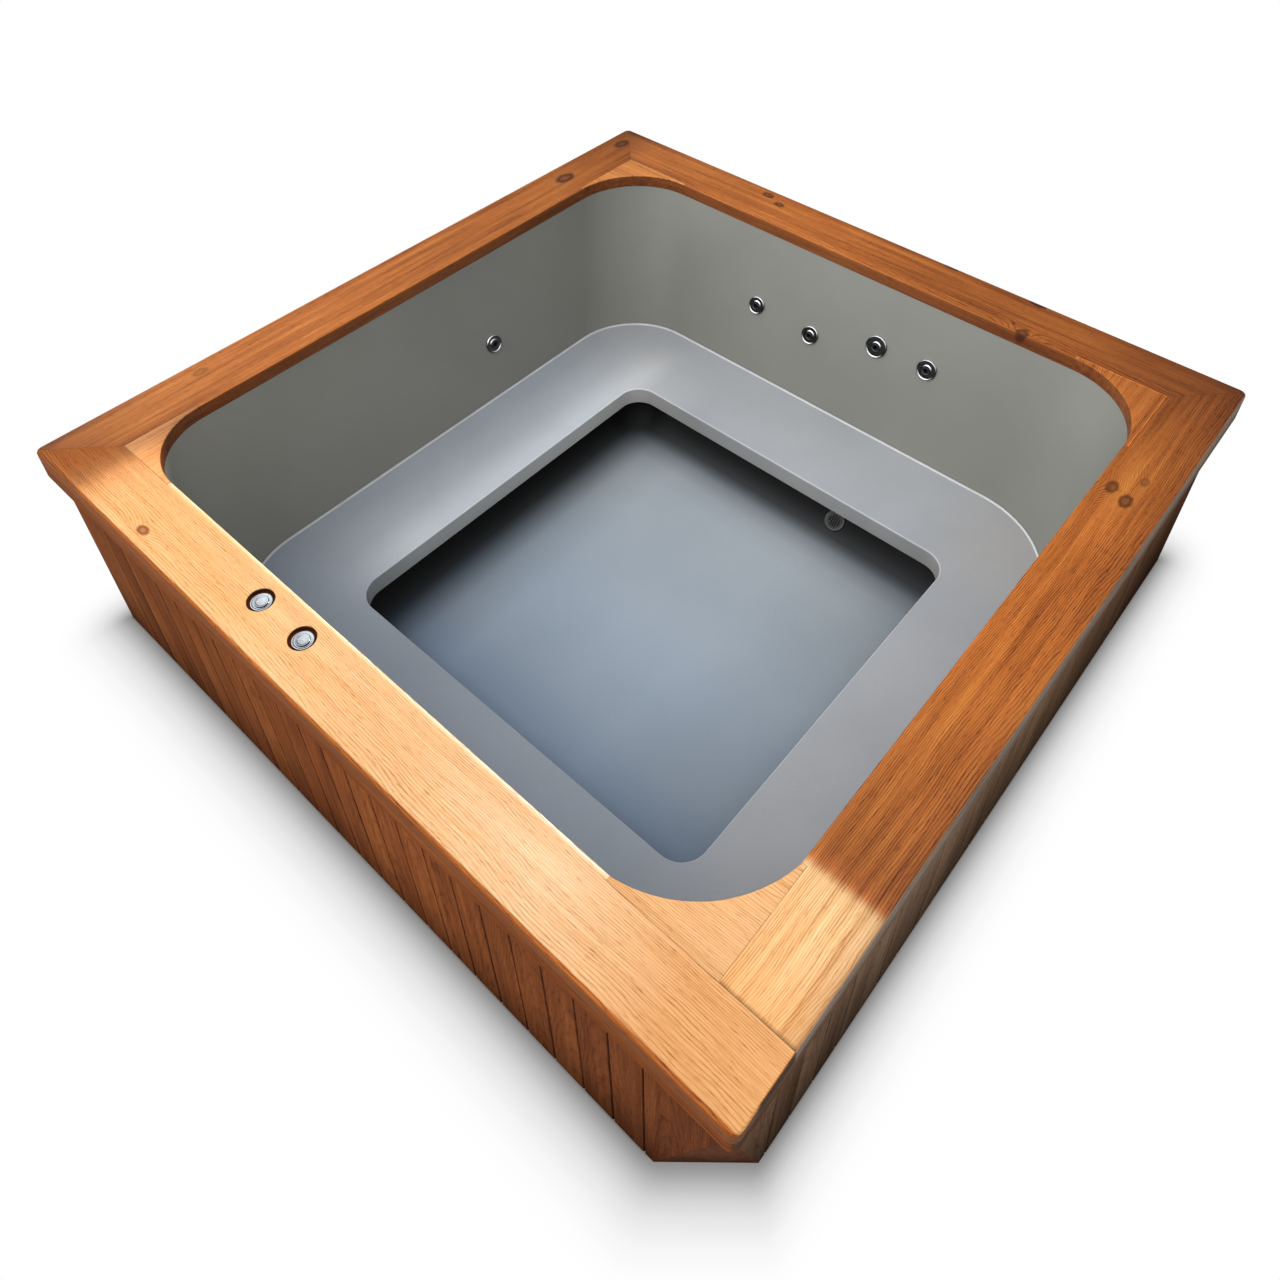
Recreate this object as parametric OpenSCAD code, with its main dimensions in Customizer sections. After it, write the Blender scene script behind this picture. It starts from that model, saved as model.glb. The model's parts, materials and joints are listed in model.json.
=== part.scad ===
// Square drop-in hot tub with a timber rim: a moulded shell with a bench all round and a
// footwell, carried by a timber frame, clad with upright boards and finished with four
// rim boards and four corner infills. Five jets, a suction fitting and two air buttons.
// +Z is up, the origin is on the floor at the middle, and -Y is the side with the buttons.

/* [Overall] */
// Width and depth over the rim
tub_w = 2300; // [2240:10:2500]
// Height from the floor to the top of the rim
tub_h = 710; // [690:5:790]

/* [Rim] */
// Width of a rim board
board_w = 178; // [165:1:195]
// Thickness of a rim board
board_t = 42; // [36:1:48]
// Radius of the rim's outer corners in plan
rim_corner_r = 20; // [12:1:30]
// Radius of the rounded outer top edge
rim_edge_r = 6; // [3:0.5:9]
// Radius of the eased inner top edge
inner_edge_r = 3; // [1:0.5:5]
// Radius of the inner corners
opening_r = 250; // [220:5:280]
// Radius of the flatter arc of the front infill
front_arc_r = 300; // [280:5:400]
// Depth of the notches that hold the infills
notch_d = 16; // [10:1:24]
// Height of the strip under the outer edge
apron_h = 48; // [30:1:60]
// Thickness of that strip
apron_t = 22; // [16:1:24]

/* [Cladding] */
// Setback of the cladding behind the rim's edge
cladding_inset = 25; // [25:1:40]
// Thickness of the cladding boards
cladding_t = 20; // [16:1:24]
// Width of the first board on each side
first_board_w = 190; // [180:1:230]
// Width of the last board on each side
last_board_w = 162.5; // [155:0.5:200]
// Number of boards between them
field_boards = 22; // [18:1:26]
// Width across a V joint
v_joint = 6; // [3:0.5:10]
// Width of the front corner's facet at the floor, on the button side
facet_w = 165; // [120:1:178]
// Width of the facet at the floor, on the other side
facet_d = 141; // [120:1:150]
// Height of the facet
facet_h = 585; // [400:5:610]
// Thickness of the facet's board
facet_t = 18; // [12:1:20]

/* [Frame] */
// Width of a frame rail
rail_w = 60; // [45:1:70]
// Height of a frame rail
rail_h = 70; // [50:1:90]
// Side of a corner post
post_w = 70; // [50:1:80]
// Thickness of the base panel
base_t = 24; // [18:1:26]
// Width of a bearer under the bench
bearer_w = 60; // [45:1:70]

/* [Shell] */
// Thickness of the moulded shell
shell_t = 8; // [6:0.5:10]
// Height of the bench
bench_h = 215; // [205:1:230]
// Thickness of the bench slab and its lip
bench_t = 62; // [50:1:66]
// Step from the rim's opening out to the shell wall
wall_step = 4; // [2:0.5:8]
// Run of the left wall from the bench to the rim
left_run = 138; // [100:1:160]
// Run of the back wall
back_run = 176; // [140:1:200]
// Run of the right wall
right_run = 26; // [10:1:60]
// Run of the front wall
front_run = 11; // [8:1:60]
// Wall corner radius at the bench, left and back corners
bench_r = 250; // [220:5:270]
// Wall corner radius at the bench, front and right corners
bench_far_r = 310; // [280:5:330]
// Depth of the bench on the left
bench_left = 312; // [290:1:330]
// Depth of the bench at the back
bench_back = 305; // [285:1:320]
// Depth of the bench on the right
bench_right = 258; // [245:1:300]
// Depth of the bench at the front
bench_front = 259; // [245:1:300]
// Corner radius of the bench's lip
lip_r = 90; // [60:1:120]
// Radius of the eased lip
lip_edge_r = 10; // [4:1:16]
// Width of the sealant bead along the wall
seal_w = 5; // [3:0.5:8]
// Gap round the bench slab
bench_gap = 0.5; // [0.2:0.1:1.5]
// Reach of the shell's flange over the frame
flange_reach = 124; // [110:1:126]

/* [Footwell] */
// Thickness of the footwell pan
pan_t = 6; // [4:0.5:8]
// Run of the pan's sloping sides
pan_run = 113; // [90:1:125]
// Corner radius of the footwell floor
pan_r = 60; // [40:1:85]
// Width of the pan's flange under the shell
pan_flange = 40; // [25:1:45]

/* [Jets] */
// Positions on the back wall: across, height, face diameter
back_jets = [[-316, 435, 61], [-90, 424, 62], [145, 485, 73], [328, 488, 66]];
// Position on the left wall: along, height, face diameter
left_jets = [[181, 389, 61]];
// Outside diameter of the threaded wall fitting
fitting_d = 44; // [40:0.5:46]
// Clearance of the fitting in the wall
fitting_gap = 0.5; // [0.2:0.1:1.5]
// Diameter of the nozzle's ball
ball_d = 30; // [27:0.5:31]
// Clearance round the ball
ball_gap = 0.35; // [0.3:0.05:0.6]
// Bore of the nozzle
nozzle_bore = 13; // [8:0.5:15]
// Outside diameter of the spout
spout_d = 18; // [16:0.5:20]
// Thickness of the gasket under a jet
gasket_t = 1.5; // [1:0.25:2.5]
// Running clearance between a jet's face and its fitting
jet_fit = 0.05; // [0.02:0.01:0.1]

/* [Air buttons] */
// Place of the buttons across the front board
button_x = [-291, -133];
// Distance of the buttons in from the rim's front edge
button_in = 112; // [112:1:130]
// Diameter of the hole in the board
button_hole_d = 65; // [58:1:72]
// Depth of the hole's shoulder
button_hole_depth = 10; // [7:0.5:14]
// Diameter of the button's bezel
bezel_d = 51; // [46:0.5:54]
// Diameter of the cap
cap_d = 34; // [28:0.5:36]
// Travel of the cap
cap_travel = 4; // [2:0.5:5]
// Running clearance of the cap
cap_fit = 0.05; // [0.02:0.01:0.1]

/* [Suction fitting] */
// Place of the fitting across the footwell
suction_x = 288; // [240:1:320]
// Height of the fitting
suction_h = 70; // [62:1:74]
// Diameter of its cover
suction_d = 70; // [60:1:74]
// Outside diameter of the suction pipe
suction_pipe_d = 32; // [25:1:36]

/* [Pump and pipes] */
// Diameter of the pump motor
motor_d = 124; // [110:1:140]
// Length of the pump motor
motor_l = 230; // [200:5:260]
// Diameter of the pump's wet end
wet_end_d = 140; // [130:1:156]
// Diameter of the heater
heater_d = 66; // [50:1:76]
// Diameter of the water manifold
manifold_d = 50; // [40:1:56]
// Diameter of a water hose
hose_d = 26; // [20:1:30]
// Diameter of an air tube
air_d = 7; // [5:0.5:9]

/* [Hidden] */
half = tub_w / 2;
rim_z = tub_h - board_t;
open_half = half - board_w;
notch_half = open_half + notch_d;
arc_start = open_half - opening_r;
clad_half = half - cladding_inset;
frame_half = clad_half - cladding_t;
rail_half = frame_half - rail_w;
flange_z = rim_z - shell_t;
flange_half = open_half + wall_step + flange_reach;
deck_z = bench_h - bench_t;
deck_under = deck_z - shell_t;
floor_z = base_t + shell_t;
far = 4 * tub_w;
eps = 1;
shell_fn = 48;

// Heights of the three rails on each side.
rail_zs = [0, (flange_z - rail_h) / 2, flange_z - rail_h];

// Shell walls at the bench and at the rim: [x0, x1, y0, y1] and the four corner radii in
// the order left, front, right, back corner.
wall_top_half = open_half + wall_step;
wall_low = [
    -(wall_top_half - left_run), wall_top_half - right_run,
    -(wall_top_half - front_run), wall_top_half - back_run
];
wall_low_r = [bench_r, bench_far_r, bench_far_r, bench_r];
wall_high = [-wall_top_half, wall_top_half, -wall_top_half, wall_top_half];
wall_high_r = [for (i = [0:3]) opening_r + wall_step];

// The bench's lip, which is also the edge of the footwell's floor.
lip = [
    wall_low[0] + bench_left, wall_low[1] - bench_right,
    wall_low[2] + bench_front, wall_low[3] - bench_back
];

function mix(a, b, t) = a + (b - a) * t;
function wall_t(z) = (z - bench_h) / (rim_z - bench_h);
function wall_at(z) = [for (i = [0:3]) mix(wall_low[i], wall_high[i], wall_t(z))];
function wall_r(z) = [for (i = [0:3]) mix(wall_low_r[i], wall_high_r[i], wall_t(z))];
function grown(o, g) = [o[0] - g, o[1] + g, o[2] - g, o[3] + g];
function all_r(r) = [r, r, r, r];
function add_r(r, g) = [for (v = r) v + g];

// The footwell pan's inside at a height.
pan_rise = deck_under - floor_z;
function pan_out(z) = pan_run * (z - floor_z) / pan_rise;
function pan_at(z) = grown(lip, pan_out(z));

// Corner centres of a rounded outline, counter-clockwise from the left corner.
function centres(o, r) = [
    [o[0] + r[0], o[2] + r[0]], [o[1] - r[1], o[2] + r[1]],
    [o[1] - r[2], o[3] - r[2]], [o[0] + r[3], o[3] - r[3]]
];

// Wall slopes.
back_tilt = atan(back_run / (rim_z - bench_h));
left_tilt = atan(left_run / (rim_z - bench_h));
pan_tilt = atan(pan_run / pan_rise);

// Rounded plan outline with its own radius at each corner.
module outline(o, r) {
    c = centres(o, r);
    polygon([
        [c[0][0], o[2]], [c[1][0], o[2]], [o[1], c[1][1]], [o[1], c[2][1]],
        [c[2][0], o[3]], [c[3][0], o[3]], [o[0], c[3][1]], [o[0], c[0][1]]
    ]);
    for (i = [0:3])
        translate(c[i]) circle(r = r[i], $fn = 96);
}

module slab(o, r, z, h) {
    translate([0, 0, z]) linear_extrude(h) outline(o, r);
}

// A body that tapers evenly from one outline to another.
module taper(o0, r0, z0, o1, r1, z1) {
    c0 = centres(o0, r0);
    c1 = centres(o1, r1);
    skin = 0.01;
    hull() {
        for (i = [0:3]) {
            translate([c0[i][0], c0[i][1], z0]) cylinder(r = r0[i], h = skin, $fn = shell_fn);
            translate([c1[i][0], c1[i][1], z1 - skin]) cylinder(r = r1[i], h = skin, $fn = shell_fn);
        }
    }
}

module wall_body(z0, z1, grow) {
    taper(
        grown(wall_at(z0), grow), add_r(wall_r(z0), grow), z0,
        grown(wall_at(z1), grow), add_r(wall_r(z1), grow), z1
    );
}

module pan_body(z0, z1, grow) {
    taper(
        grown(pan_at(z0), grow), all_r(pan_r + pan_out(z0) + grow), z0,
        grown(pan_at(z1), grow), all_r(pan_r + pan_out(z1) + grow), z1
    );
}

// Sweeps a profile round a rounded outline: x points outwards and y up, from the outline.
module sweep_round(o, r) {
    c = centres(o, r);
    sides = [
        [c[1][0], o[2], -90, c[1][0] - c[0][0]], [o[1], c[2][1], 0, c[2][1] - c[1][1]],
        [c[3][0], o[3], 90, c[2][0] - c[3][0]], [o[0], c[0][1], 180, c[3][1] - c[0][1]]
    ];
    for (s = sides)
        translate([s[0], s[1], 0]) rotate([90, 0, s[2]]) linear_extrude(s[3]) children();
    for (i = [0:3])
        translate([c[i][0], c[i][1], 0]) rotate([0, 0, 180 + 90 * i])
            rotate_extrude(angle = 90, $fn = 96) translate([r[i], 0]) children();
}

// What is cut from an edge to round it: inward side first, then outward side.
module round_over_out(e) {
    difference() {
        translate([-e, -e]) square([e + eps, e + eps]);
        translate([-e, -e]) circle(r = e, $fn = 48);
    }
}

module round_over_in(e) {
    difference() {
        translate([-eps, -e]) square([e + eps, e + eps]);
        translate([e, -e]) circle(r = e, $fn = 48);
    }
}

// Rim

front_arc_c = open_half - opening_r / 2 - sqrt(pow(front_arc_r, 2) / 2 - pow(opening_r / 2, 2));
full_square = [-half, half, -half, half];
opening = [-open_half, open_half, -open_half, open_half];

module rim_opening_plan() {
    difference() {
        outline(opening, all_r(opening_r));
        translate([arc_start, -notch_half]) square(notch_half - arc_start);
    }
    intersection() {
        translate([front_arc_c, -front_arc_c]) circle(r = front_arc_r, $fn = 128);
        translate([arc_start, -notch_half]) square(notch_half - arc_start);
    }
}

module rim_blank() {
    difference() {
        slab(full_square, all_r(rim_corner_r), rim_z, board_t);
        translate([0, 0, rim_z - eps]) linear_extrude(board_t + 2 * eps) rim_opening_plan();
        translate([0, 0, tub_h]) sweep_round(full_square, all_r(rim_corner_r))
            round_over_out(rim_edge_r);
        translate([0, 0, tub_h]) sweep_round(opening, all_r(opening_r))
            round_over_in(inner_edge_r);
    }
}

module rim_piece(plan) {
    intersection() {
        rim_blank();
        translate([0, 0, rim_z - eps]) linear_extrude(board_t + 2 * eps) polygon(plan);
    }
}

// How far a board's outline reaches past the opening's edge before the opening is cut.
inner_reach = open_half - 10;

module button_hole(x) {
    translate([x, button_in - half, 0]) {
        translate([0, 0, tub_h - button_hole_depth])
            cylinder(d = button_hole_d, h = button_hole_depth + eps, $fn = 64);
        translate([0, 0, rim_z - eps]) cylinder(d = body_hole_d, h = board_t, $fn = 64);
    }
}

module rim_board_front() {
    color("#e3ae70") difference() {
        rim_piece([
            [-half, -half], [half, -half], [half, -notch_half], [arc_start, -notch_half],
            [arc_start, -inner_reach], [-arc_start, -inner_reach],
            [-arc_start, -notch_half], [-notch_half, -notch_half]
        ]);
        for (x = button_x) button_hole(x);
    }
}

module rim_board_right() {
    color("#c07c42") rim_piece([
        [half, -notch_half], [half, half], [notch_half, notch_half], [notch_half, arc_start],
        [inner_reach, arc_start], [inner_reach, -arc_start],
        [notch_half, -arc_start], [notch_half, -notch_half]
    ]);
}

module rim_board_back() {
    color("#b5703a") rim_piece([
        [half, half], [-half, half], [-notch_half, notch_half], [-arc_start, notch_half],
        [-arc_start, inner_reach], [arc_start, inner_reach],
        [arc_start, notch_half], [notch_half, notch_half]
    ]);
}

module rim_board_left() {
    color("#c8864c") rim_piece([
        [-half, half], [-half, -half], [-notch_half, -notch_half], [-notch_half, -arc_start],
        [-inner_reach, -arc_start], [-inner_reach, arc_start],
        [-notch_half, arc_start], [-notch_half, notch_half]
    ]);
}

module infill(sx, sy) {
    rim_piece([
        [sx * arc_start, sy * arc_start], [sx * notch_half, sy * arc_start],
        [sx * notch_half, sy * notch_half], [sx * arc_start, sy * notch_half]
    ]);
}

module rim_infill_left() {
    color("#cf9055") infill(-1, -1);
}

module rim_infill_front() {
    color("#e0a868") infill(1, -1);
}

module rim_infill_right() {
    color("#bd7a44") infill(1, 1);
}

module rim_infill_back() {
    color("#b8743f") infill(-1, 1);
}

// One side of a mitred square frame between two half widths, turned to its side.
module mitred_side(out, in, z, h, turn) {
    rotate([0, 0, turn]) translate([0, 0, z]) linear_extrude(h)
        polygon([[-out, -out], [out, -out], [in, -in], [-in, -in]]);
}

module apron(turn) {
    edge = rim_edge_r;
    intersection() {
        mitred_side(half, half - apron_t, rim_z - apron_h, apron_h, turn);
        difference() {
            slab(full_square, all_r(rim_corner_r), rim_z - apron_h, apron_h);
            translate([0, 0, rim_z - apron_h]) mirror([0, 0, 1])
                sweep_round(full_square, all_r(rim_corner_r)) round_over_out(edge);
        }
    }
}

module rim_apron_front() {
    color("#8c5530") apron(0);
}

module rim_apron_right() {
    color("#6e5644") apron(90);
}

module rim_apron_back() {
    color("#6e5644") apron(180);
}

module rim_apron_left() {
    color("#8c5530") apron(270);
}

// Cladding

// The facet that takes off the foot of the front corner, from the floor up to its apex.
facet_n = [1 / facet_w, -1 / facet_d, -1 / facet_h] / norm([1 / facet_w, 1 / facet_d, 1 / facet_h]);
facet_az = atan2(facet_n[1], facet_n[0]);
facet_el = asin(facet_n[2]);
facet_y = [-sin(facet_az), cos(facet_az), 0];
facet_z = cross(facet_n, facet_y);
facet_a = [-facet_w, 0, -facet_h];
facet_b = [0, facet_d, -facet_h];
facet_over = 1.1;

module at_facet() {
    translate([clad_half, -clad_half, facet_h]) rotate([0, -facet_el, facet_az]) children();
}

// All that lies outside the facet, moved inwards by a depth.
module beyond_facet(depth) {
    at_facet() translate([-depth, -far / 2, -far / 2]) cube([far, far, far]);
}

// The triangular board's body, long enough to be cut at the floor, with its face moved out.
module facet_body(out) {
    at_facet() rotate([90, 0, 90]) translate([0, 0, -facet_t]) linear_extrude(facet_t + out) polygon([
        [0, 0],
        [facet_a * facet_y, facet_a * facet_z] * facet_over,
        [facet_b * facet_y, facet_b * facet_z] * facet_over
    ]);
}

board_pitch = (2 * clad_half - first_board_w - last_board_w) / field_boards;

module cladding(turn) {
    difference() {
        mitred_side(clad_half, frame_half, 0, rim_z, turn);
        for (i = [0:field_boards])
            rotate([0, 0, turn])
                translate([clad_half - first_board_w - i * board_pitch, -clad_half, rim_z / 2])
                    rotate([0, 0, 45])
                        cube([v_joint / sqrt(2), v_joint / sqrt(2), rim_z + 2 * eps], center = true);
    }
}

module cladding_front() {
    color("#8a5230") difference() {
        cladding(0);
        beyond_facet(0);
        facet_body(eps);
    }
}

module cladding_right() {
    color("#6b5548") difference() {
        cladding(90);
        beyond_facet(0);
        facet_body(eps);
    }
}

module cladding_back() {
    color("#6b5548") cladding(180);
}

module cladding_left() {
    color("#8a5230") cladding(270);
}

module facet_board() {
    color("#85502f") intersection() {
        facet_body(0);
        translate([0, -half, 0]) cube([half, half, rim_z]);
    }
}

// Frame

module rails_long(turn) {
    rotate([0, 0, turn]) for (z = rail_zs)
        translate([-frame_half, -frame_half, z]) cube([2 * frame_half, rail_w, rail_h]);
}

module rails_short(turn) {
    rotate([0, 0, turn]) for (z = rail_zs)
        translate([-rail_half, -frame_half, z]) cube([2 * rail_half, rail_w, rail_h]);
}

module rails_front() {
    color("#c9a878") difference() {
        rails_long(0);
        beyond_facet(facet_t);
    }
}

module rails_back() {
    color("#c9a878") rails_long(180);
}

module rails_right() {
    color("#c9a878") difference() {
        rails_short(90);
        beyond_facet(facet_t);
    }
}

module rails_left() {
    color("#c9a878") rails_short(270);
}

module post(sx, sy) {
    mid = rail_half - post_w / 2;
    translate([sx * mid - post_w / 2, sy * mid - post_w / 2, base_t])
        cube([post_w, post_w, flange_z - base_t]);
}

module post_left() {
    color("#bd9a68") post(-1, -1);
}

module post_front() {
    color("#bd9a68") difference() {
        post(1, -1);
        beyond_facet(facet_t);
    }
}

module post_right() {
    color("#bd9a68") post(1, 1);
}

module post_back() {
    color("#bd9a68") post(-1, 1);
}

module base_panel() {
    color("#b08d5e") difference() {
        translate([-rail_half, -rail_half, 0]) cube([2 * rail_half, 2 * rail_half, base_t]);
        beyond_facet(facet_t);
    }
}

// Middle of the room between the pan's flange and the shell wall, on each side.
pan_edge = grown(pan_at(deck_under), pan_flange);
wall_edge = grown(wall_at(deck_under), shell_t);
bearer_mid = [for (i = [0:3]) (pan_edge[i] + wall_edge[i]) / 2];

module bench_bearers() {
    bearer_h = deck_under - base_t;
    color("#c2a070") difference() {
        translate([0, 0, base_t]) {
            for (i = [0:1])
                translate([bearer_mid[i] - bearer_w / 2, lip[2], 0])
                    cube([bearer_w, lip[3] - lip[2], bearer_h]);
            for (i = [2:3])
                translate([lip[0], bearer_mid[i] - bearer_w / 2, 0])
                    cube([lip[1] - lip[0], bearer_w, bearer_h]);
        }
        translate([suction_x, bearer_mid[3], outlet_z]) rotate([90, 0, 0])
            cylinder(d = suction_pipe_d + 4, h = 2 * bearer_w, center = true, $fn = 48);
    }
}

// Shell

function jet_count() = len(back_jets) + len(left_jets);
jets = [
    for (j = back_jets) [j[0], wall_at(j[1])[3], j[1], j[2], 0],
    for (j = left_jets) [wall_at(j[1])[0], j[0], j[1], j[2], 1]
];

// Places children on a jet: z points out of the wall into the tub and -y points down.
module at_jet(i) {
    j = jets[i];
    turn = j[4] == 0 ? [90 - back_tilt, 0, 0] : [0, 90 - left_tilt, 0];
    translate([j[0], j[1], j[2]]) rotate(turn) rotate([0, 0, j[4] == 0 ? 0 : 90]) children();
}

function jet_wall(i) = shell_t * cos(jets[i][4] == 0 ? back_tilt : left_tilt);

module tub_shell() {
    color("#7e7e7b") difference() {
        union() {
            wall_body(deck_under, rim_z, shell_t);
            slab(grown(all_square(flange_half), 0), all_r(rim_corner_r), flange_z, shell_t);
        }
        wall_body(deck_z, rim_z + eps, 0);
        slab(pan_at(deck_under), all_r(pan_r + pan_run), deck_under - eps, shell_t + 2 * eps);
        for (i = [0:jet_count() - 1])
            at_jet(i) translate([0, 0, -3 * shell_t])
                cylinder(d = fitting_d + 2 * fitting_gap, h = 4 * shell_t, $fn = 64);
        for (x = button_x)
            translate([x, button_in - half, flange_z - eps])
                cylinder(d = barb_d + 6, h = shell_t + 2 * eps, $fn = 32);
    }
}

function all_square(h) = [-h, h, -h, h];

module bench() {
    color("#8f969e") difference() {
        wall_body(deck_z, bench_h, -bench_gap);
        slab(lip, all_r(lip_r), deck_z - eps, bench_t + 2 * eps);
        translate([0, 0, bench_h]) sweep_round(lip, all_r(lip_r)) round_over_in(lip_edge_r);
    }
}

// Coved bead of sealant between the bench and the wall.
module bench_seal() {
    color("#c9cbcc") translate([0, 0, bench_h])
        sweep_round(grown(wall_low, -bench_gap), add_r(wall_low_r, -bench_gap)) difference() {
            translate([-seal_w, 0]) square(seal_w);
            translate([-seal_w, seal_w]) circle(r = seal_w * 0.9, $fn = 48);
        }
}

// Footwell

pan_grow = pan_t / cos(pan_tilt);

module footwell_pan() {
    color("#6f7882") difference() {
        union() {
            pan_body(base_t, deck_under, pan_grow);
            slab(pan_edge, all_r(pan_r + pan_run + pan_flange), deck_under - pan_t, pan_t);
        }
        pan_body(floor_z, deck_under + eps, 0);
        at_suction() cylinder(d = cup_d + 2, h = 6 * pan_t, center = true, $fn = 64);
    }
}

// Suction fitting

cup_d = 46;
cup_depth = 24;
cup_lip = 2;
cover_t = 5;
outlet_deep = 17;
suction_y = lip[3] + pan_out(suction_h);
outlet_y = suction_y + outlet_deep * cos(pan_tilt);
outlet_z = suction_h - outlet_deep * sin(pan_tilt);

// Places children on the sloping side of the pan, with z pointing into the footwell.
module at_suction() {
    translate([suction_x, suction_y, suction_h]) rotate([pan_tilt_turn, 0, 0]) children();
}

pan_tilt_turn = 90 - pan_tilt;

module suction_cover() {
    slots = 5;
    slot_w = 4;
    pitch = 8;
    reach = cup_d / 2 - 4;
    lip_up = cup_lip + 0.2;
    color("#8d9297") at_suction() difference() {
        rotate_extrude($fn = 96) polygon([
            [0, lip_up], [cup_d / 2 + 0.4, lip_up], [cup_d / 2 + 0.4, 0.3], [suction_d / 2 - 1, 0.3],
            [suction_d / 2, 1.2], [suction_d / 2 - 2, cover_t - 0.6],
            [suction_d / 2 - 5, cover_t], [suction_d / 2 - 9, cover_t - 1], [0, cover_t - 0.6]
        ]);
        for (i = [0:slots - 1]) {
            x = (i - (slots - 1) / 2) * pitch;
            run = sqrt(reach * reach - x * x);
            translate([x - slot_w / 2, -run, 0]) cube([slot_w, 2 * run, cover_t + eps]);
        }
    }
}

module suction_body() {
    wall = 3;
    color("#d8d8d4") difference() {
        union() {
            at_suction() {
                translate([0, 0, -cup_depth]) cylinder(d = cup_d, h = cup_depth + cup_lip, $fn = 64);
                translate([0, 0, -pan_t - 4]) cylinder(d = cup_d + 12, h = 4, $fn = 64);
            }
            translate([suction_x, outlet_y, outlet_z]) rotate([-90, 0, 0])
                cylinder(d = suction_pipe_d, h = outlet_reach, $fn = 48);
        }
        at_suction() translate([0, 0, wall - cup_depth])
            cylinder(d = cup_d - 2 * wall, h = cup_depth + cup_lip, $fn = 64);
        translate([suction_x, outlet_y, outlet_z]) rotate([-90, 0, 0])
            cylinder(d = suction_pipe_d - 2 * wall, h = outlet_reach + eps, $fn = 48);
    }
}

outlet_reach = 60;

// Jets

fitting_bore = fitting_d - 8;
fitting_flange_d = 52;
fitting_flange_t = 2.5;
fitting_deep = 34;
fitting_top = gasket_t + fitting_flange_t;
hub_deep = 16;
ball_z = -2;
pocket_r = ball_d / 2 + ball_gap;
spout_top = 9;
tilt_room = 3.6;

module jet_gaskets() {
    color("#2f3133") for (i = [0:jet_count() - 1])
        at_jet(i) difference() {
            cylinder(d = fitting_flange_d, h = gasket_t, $fn = 64);
            translate([0, 0, -eps]) cylinder(d = fitting_d + 0.4, h = gasket_t + 2 * eps, $fn = 64);
        }
}

module jet_fittings() {
    color("#4b4e52") for (i = [0:jet_count() - 1])
        at_jet(i) difference() {
            union() {
                translate([0, 0, gasket_t]) cylinder(d = fitting_flange_d, h = fitting_flange_t, $fn = 64);
                translate([0, 0, -fitting_deep]) cylinder(d = fitting_d, h = fitting_deep + fitting_top, $fn = 64);
            }
            translate([0, 0, -fitting_deep - eps])
                cylinder(d = fitting_bore, h = fitting_deep + fitting_top + 2 * eps, $fn = 64);
        }
}

// Where the water port of a jet's body ends, and which way it points.
port_deep = 56;
port_l = 50;
body_d = fitting_d + 10;
body_deep = 78;

module jet_bodies() {
    color("#e4e4e0") for (i = [0:jet_count() - 1])
        at_jet(i) difference() {
            union() {
                translate([0, 0, -jet_wall(i) - 6]) cylinder(d = body_d + 10, h = 6, $fn = 64);
                translate([0, 0, -body_deep]) cylinder(d = body_d, h = body_deep - jet_wall(i), $fn = 64);
                translate([0, 0, -port_deep]) rotate([90, 0, 0]) cylinder(d = hose_d, h = port_l, $fn = 48);
            }
            translate([0, 0, -fitting_deep - 2])
                cylinder(d = fitting_d + 0.4, h = fitting_deep + 2, $fn = 64);
            translate([0, 0, -body_deep + 4]) cylinder(d = fitting_bore, h = body_deep, $fn = 64);
            translate([0, 0, -port_deep]) rotate([90, 0, 0])
                cylinder(d = hose_d - 6, h = port_l + eps, $fn = 48);
        }
}

// The turning face: a raised bezel, a shallow dish and the socket that holds the ball.
module jet_ring(i) {
    r = jets[i][3] / 2;
    hub_r = fitting_bore / 2 - jet_fit;
    lap = fitting_flange_d / 2 + 0.4;
    mouth = spout_d / 2 + tilt_room;
    under = fitting_top + 0.05;
    color("#a4a9ad") at_jet(i) difference() {
        rotate_extrude($fn = 96) polygon([
            [0, -hub_deep], [hub_r, -hub_deep], [hub_r, under], [lap, under], [lap, 0.5],
            [r - 1, 0.5], [r, 1.6], [r, 4.4], [r - 1.2, 6.2], [r - 2.6, 6.8], [r - 4.2, 6],
            [r - 5.2, 4.9], [mouth + 5, 4.9], [mouth + 3.6, 6.4], [mouth + 1.6, 7.4],
            [mouth, 7.2], [0, 7.2]
        ]);
        translate([0, 0, ball_z]) sphere(r = pocket_r, $fn = 64);
        translate([0, 0, ball_z]) cylinder(r = mouth, h = 12, $fn = 64);
        translate([0, 0, -hub_deep - eps]) cylinder(r = pocket_r - 3.5, h = hub_deep, $fn = 64);
        translate([(mouth + r) / 2 + 1.4, -4, 0]) cylinder(d = 3.6, h = 12, $fn = 24);
    }
}

module jet_nozzle(i) {
    color("#26282a") at_jet(i) difference() {
        union() {
            translate([0, 0, ball_z]) sphere(d = ball_d, $fn = 64);
            translate([0, 0, ball_z]) cylinder(d = spout_d, h = spout_top - ball_z, $fn = 64);
        }
        translate([0, 0, ball_z - ball_d]) cylinder(d = nozzle_bore, h = 2 * ball_d, $fn = 48);
        translate([0, 0, ball_z - ball_d - 9]) cylinder(d = ball_d, h = ball_d, $fn = 48);
        translate([0, 0, spout_top - 2])
            cylinder(d1 = nozzle_bore, d2 = nozzle_bore + 3, h = 2 + eps / 10, $fn = 48);
    }
}

module jet_ring_1() {
    jet_ring(0);
}

module jet_ring_2() {
    jet_ring(1);
}

module jet_ring_3() {
    jet_ring(2);
}

module jet_ring_4() {
    jet_ring(3);
}

module jet_ring_5() {
    jet_ring(4);
}

module jet_nozzle_1() {
    jet_nozzle(0);
}

module jet_nozzle_2() {
    jet_nozzle(1);
}

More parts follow.
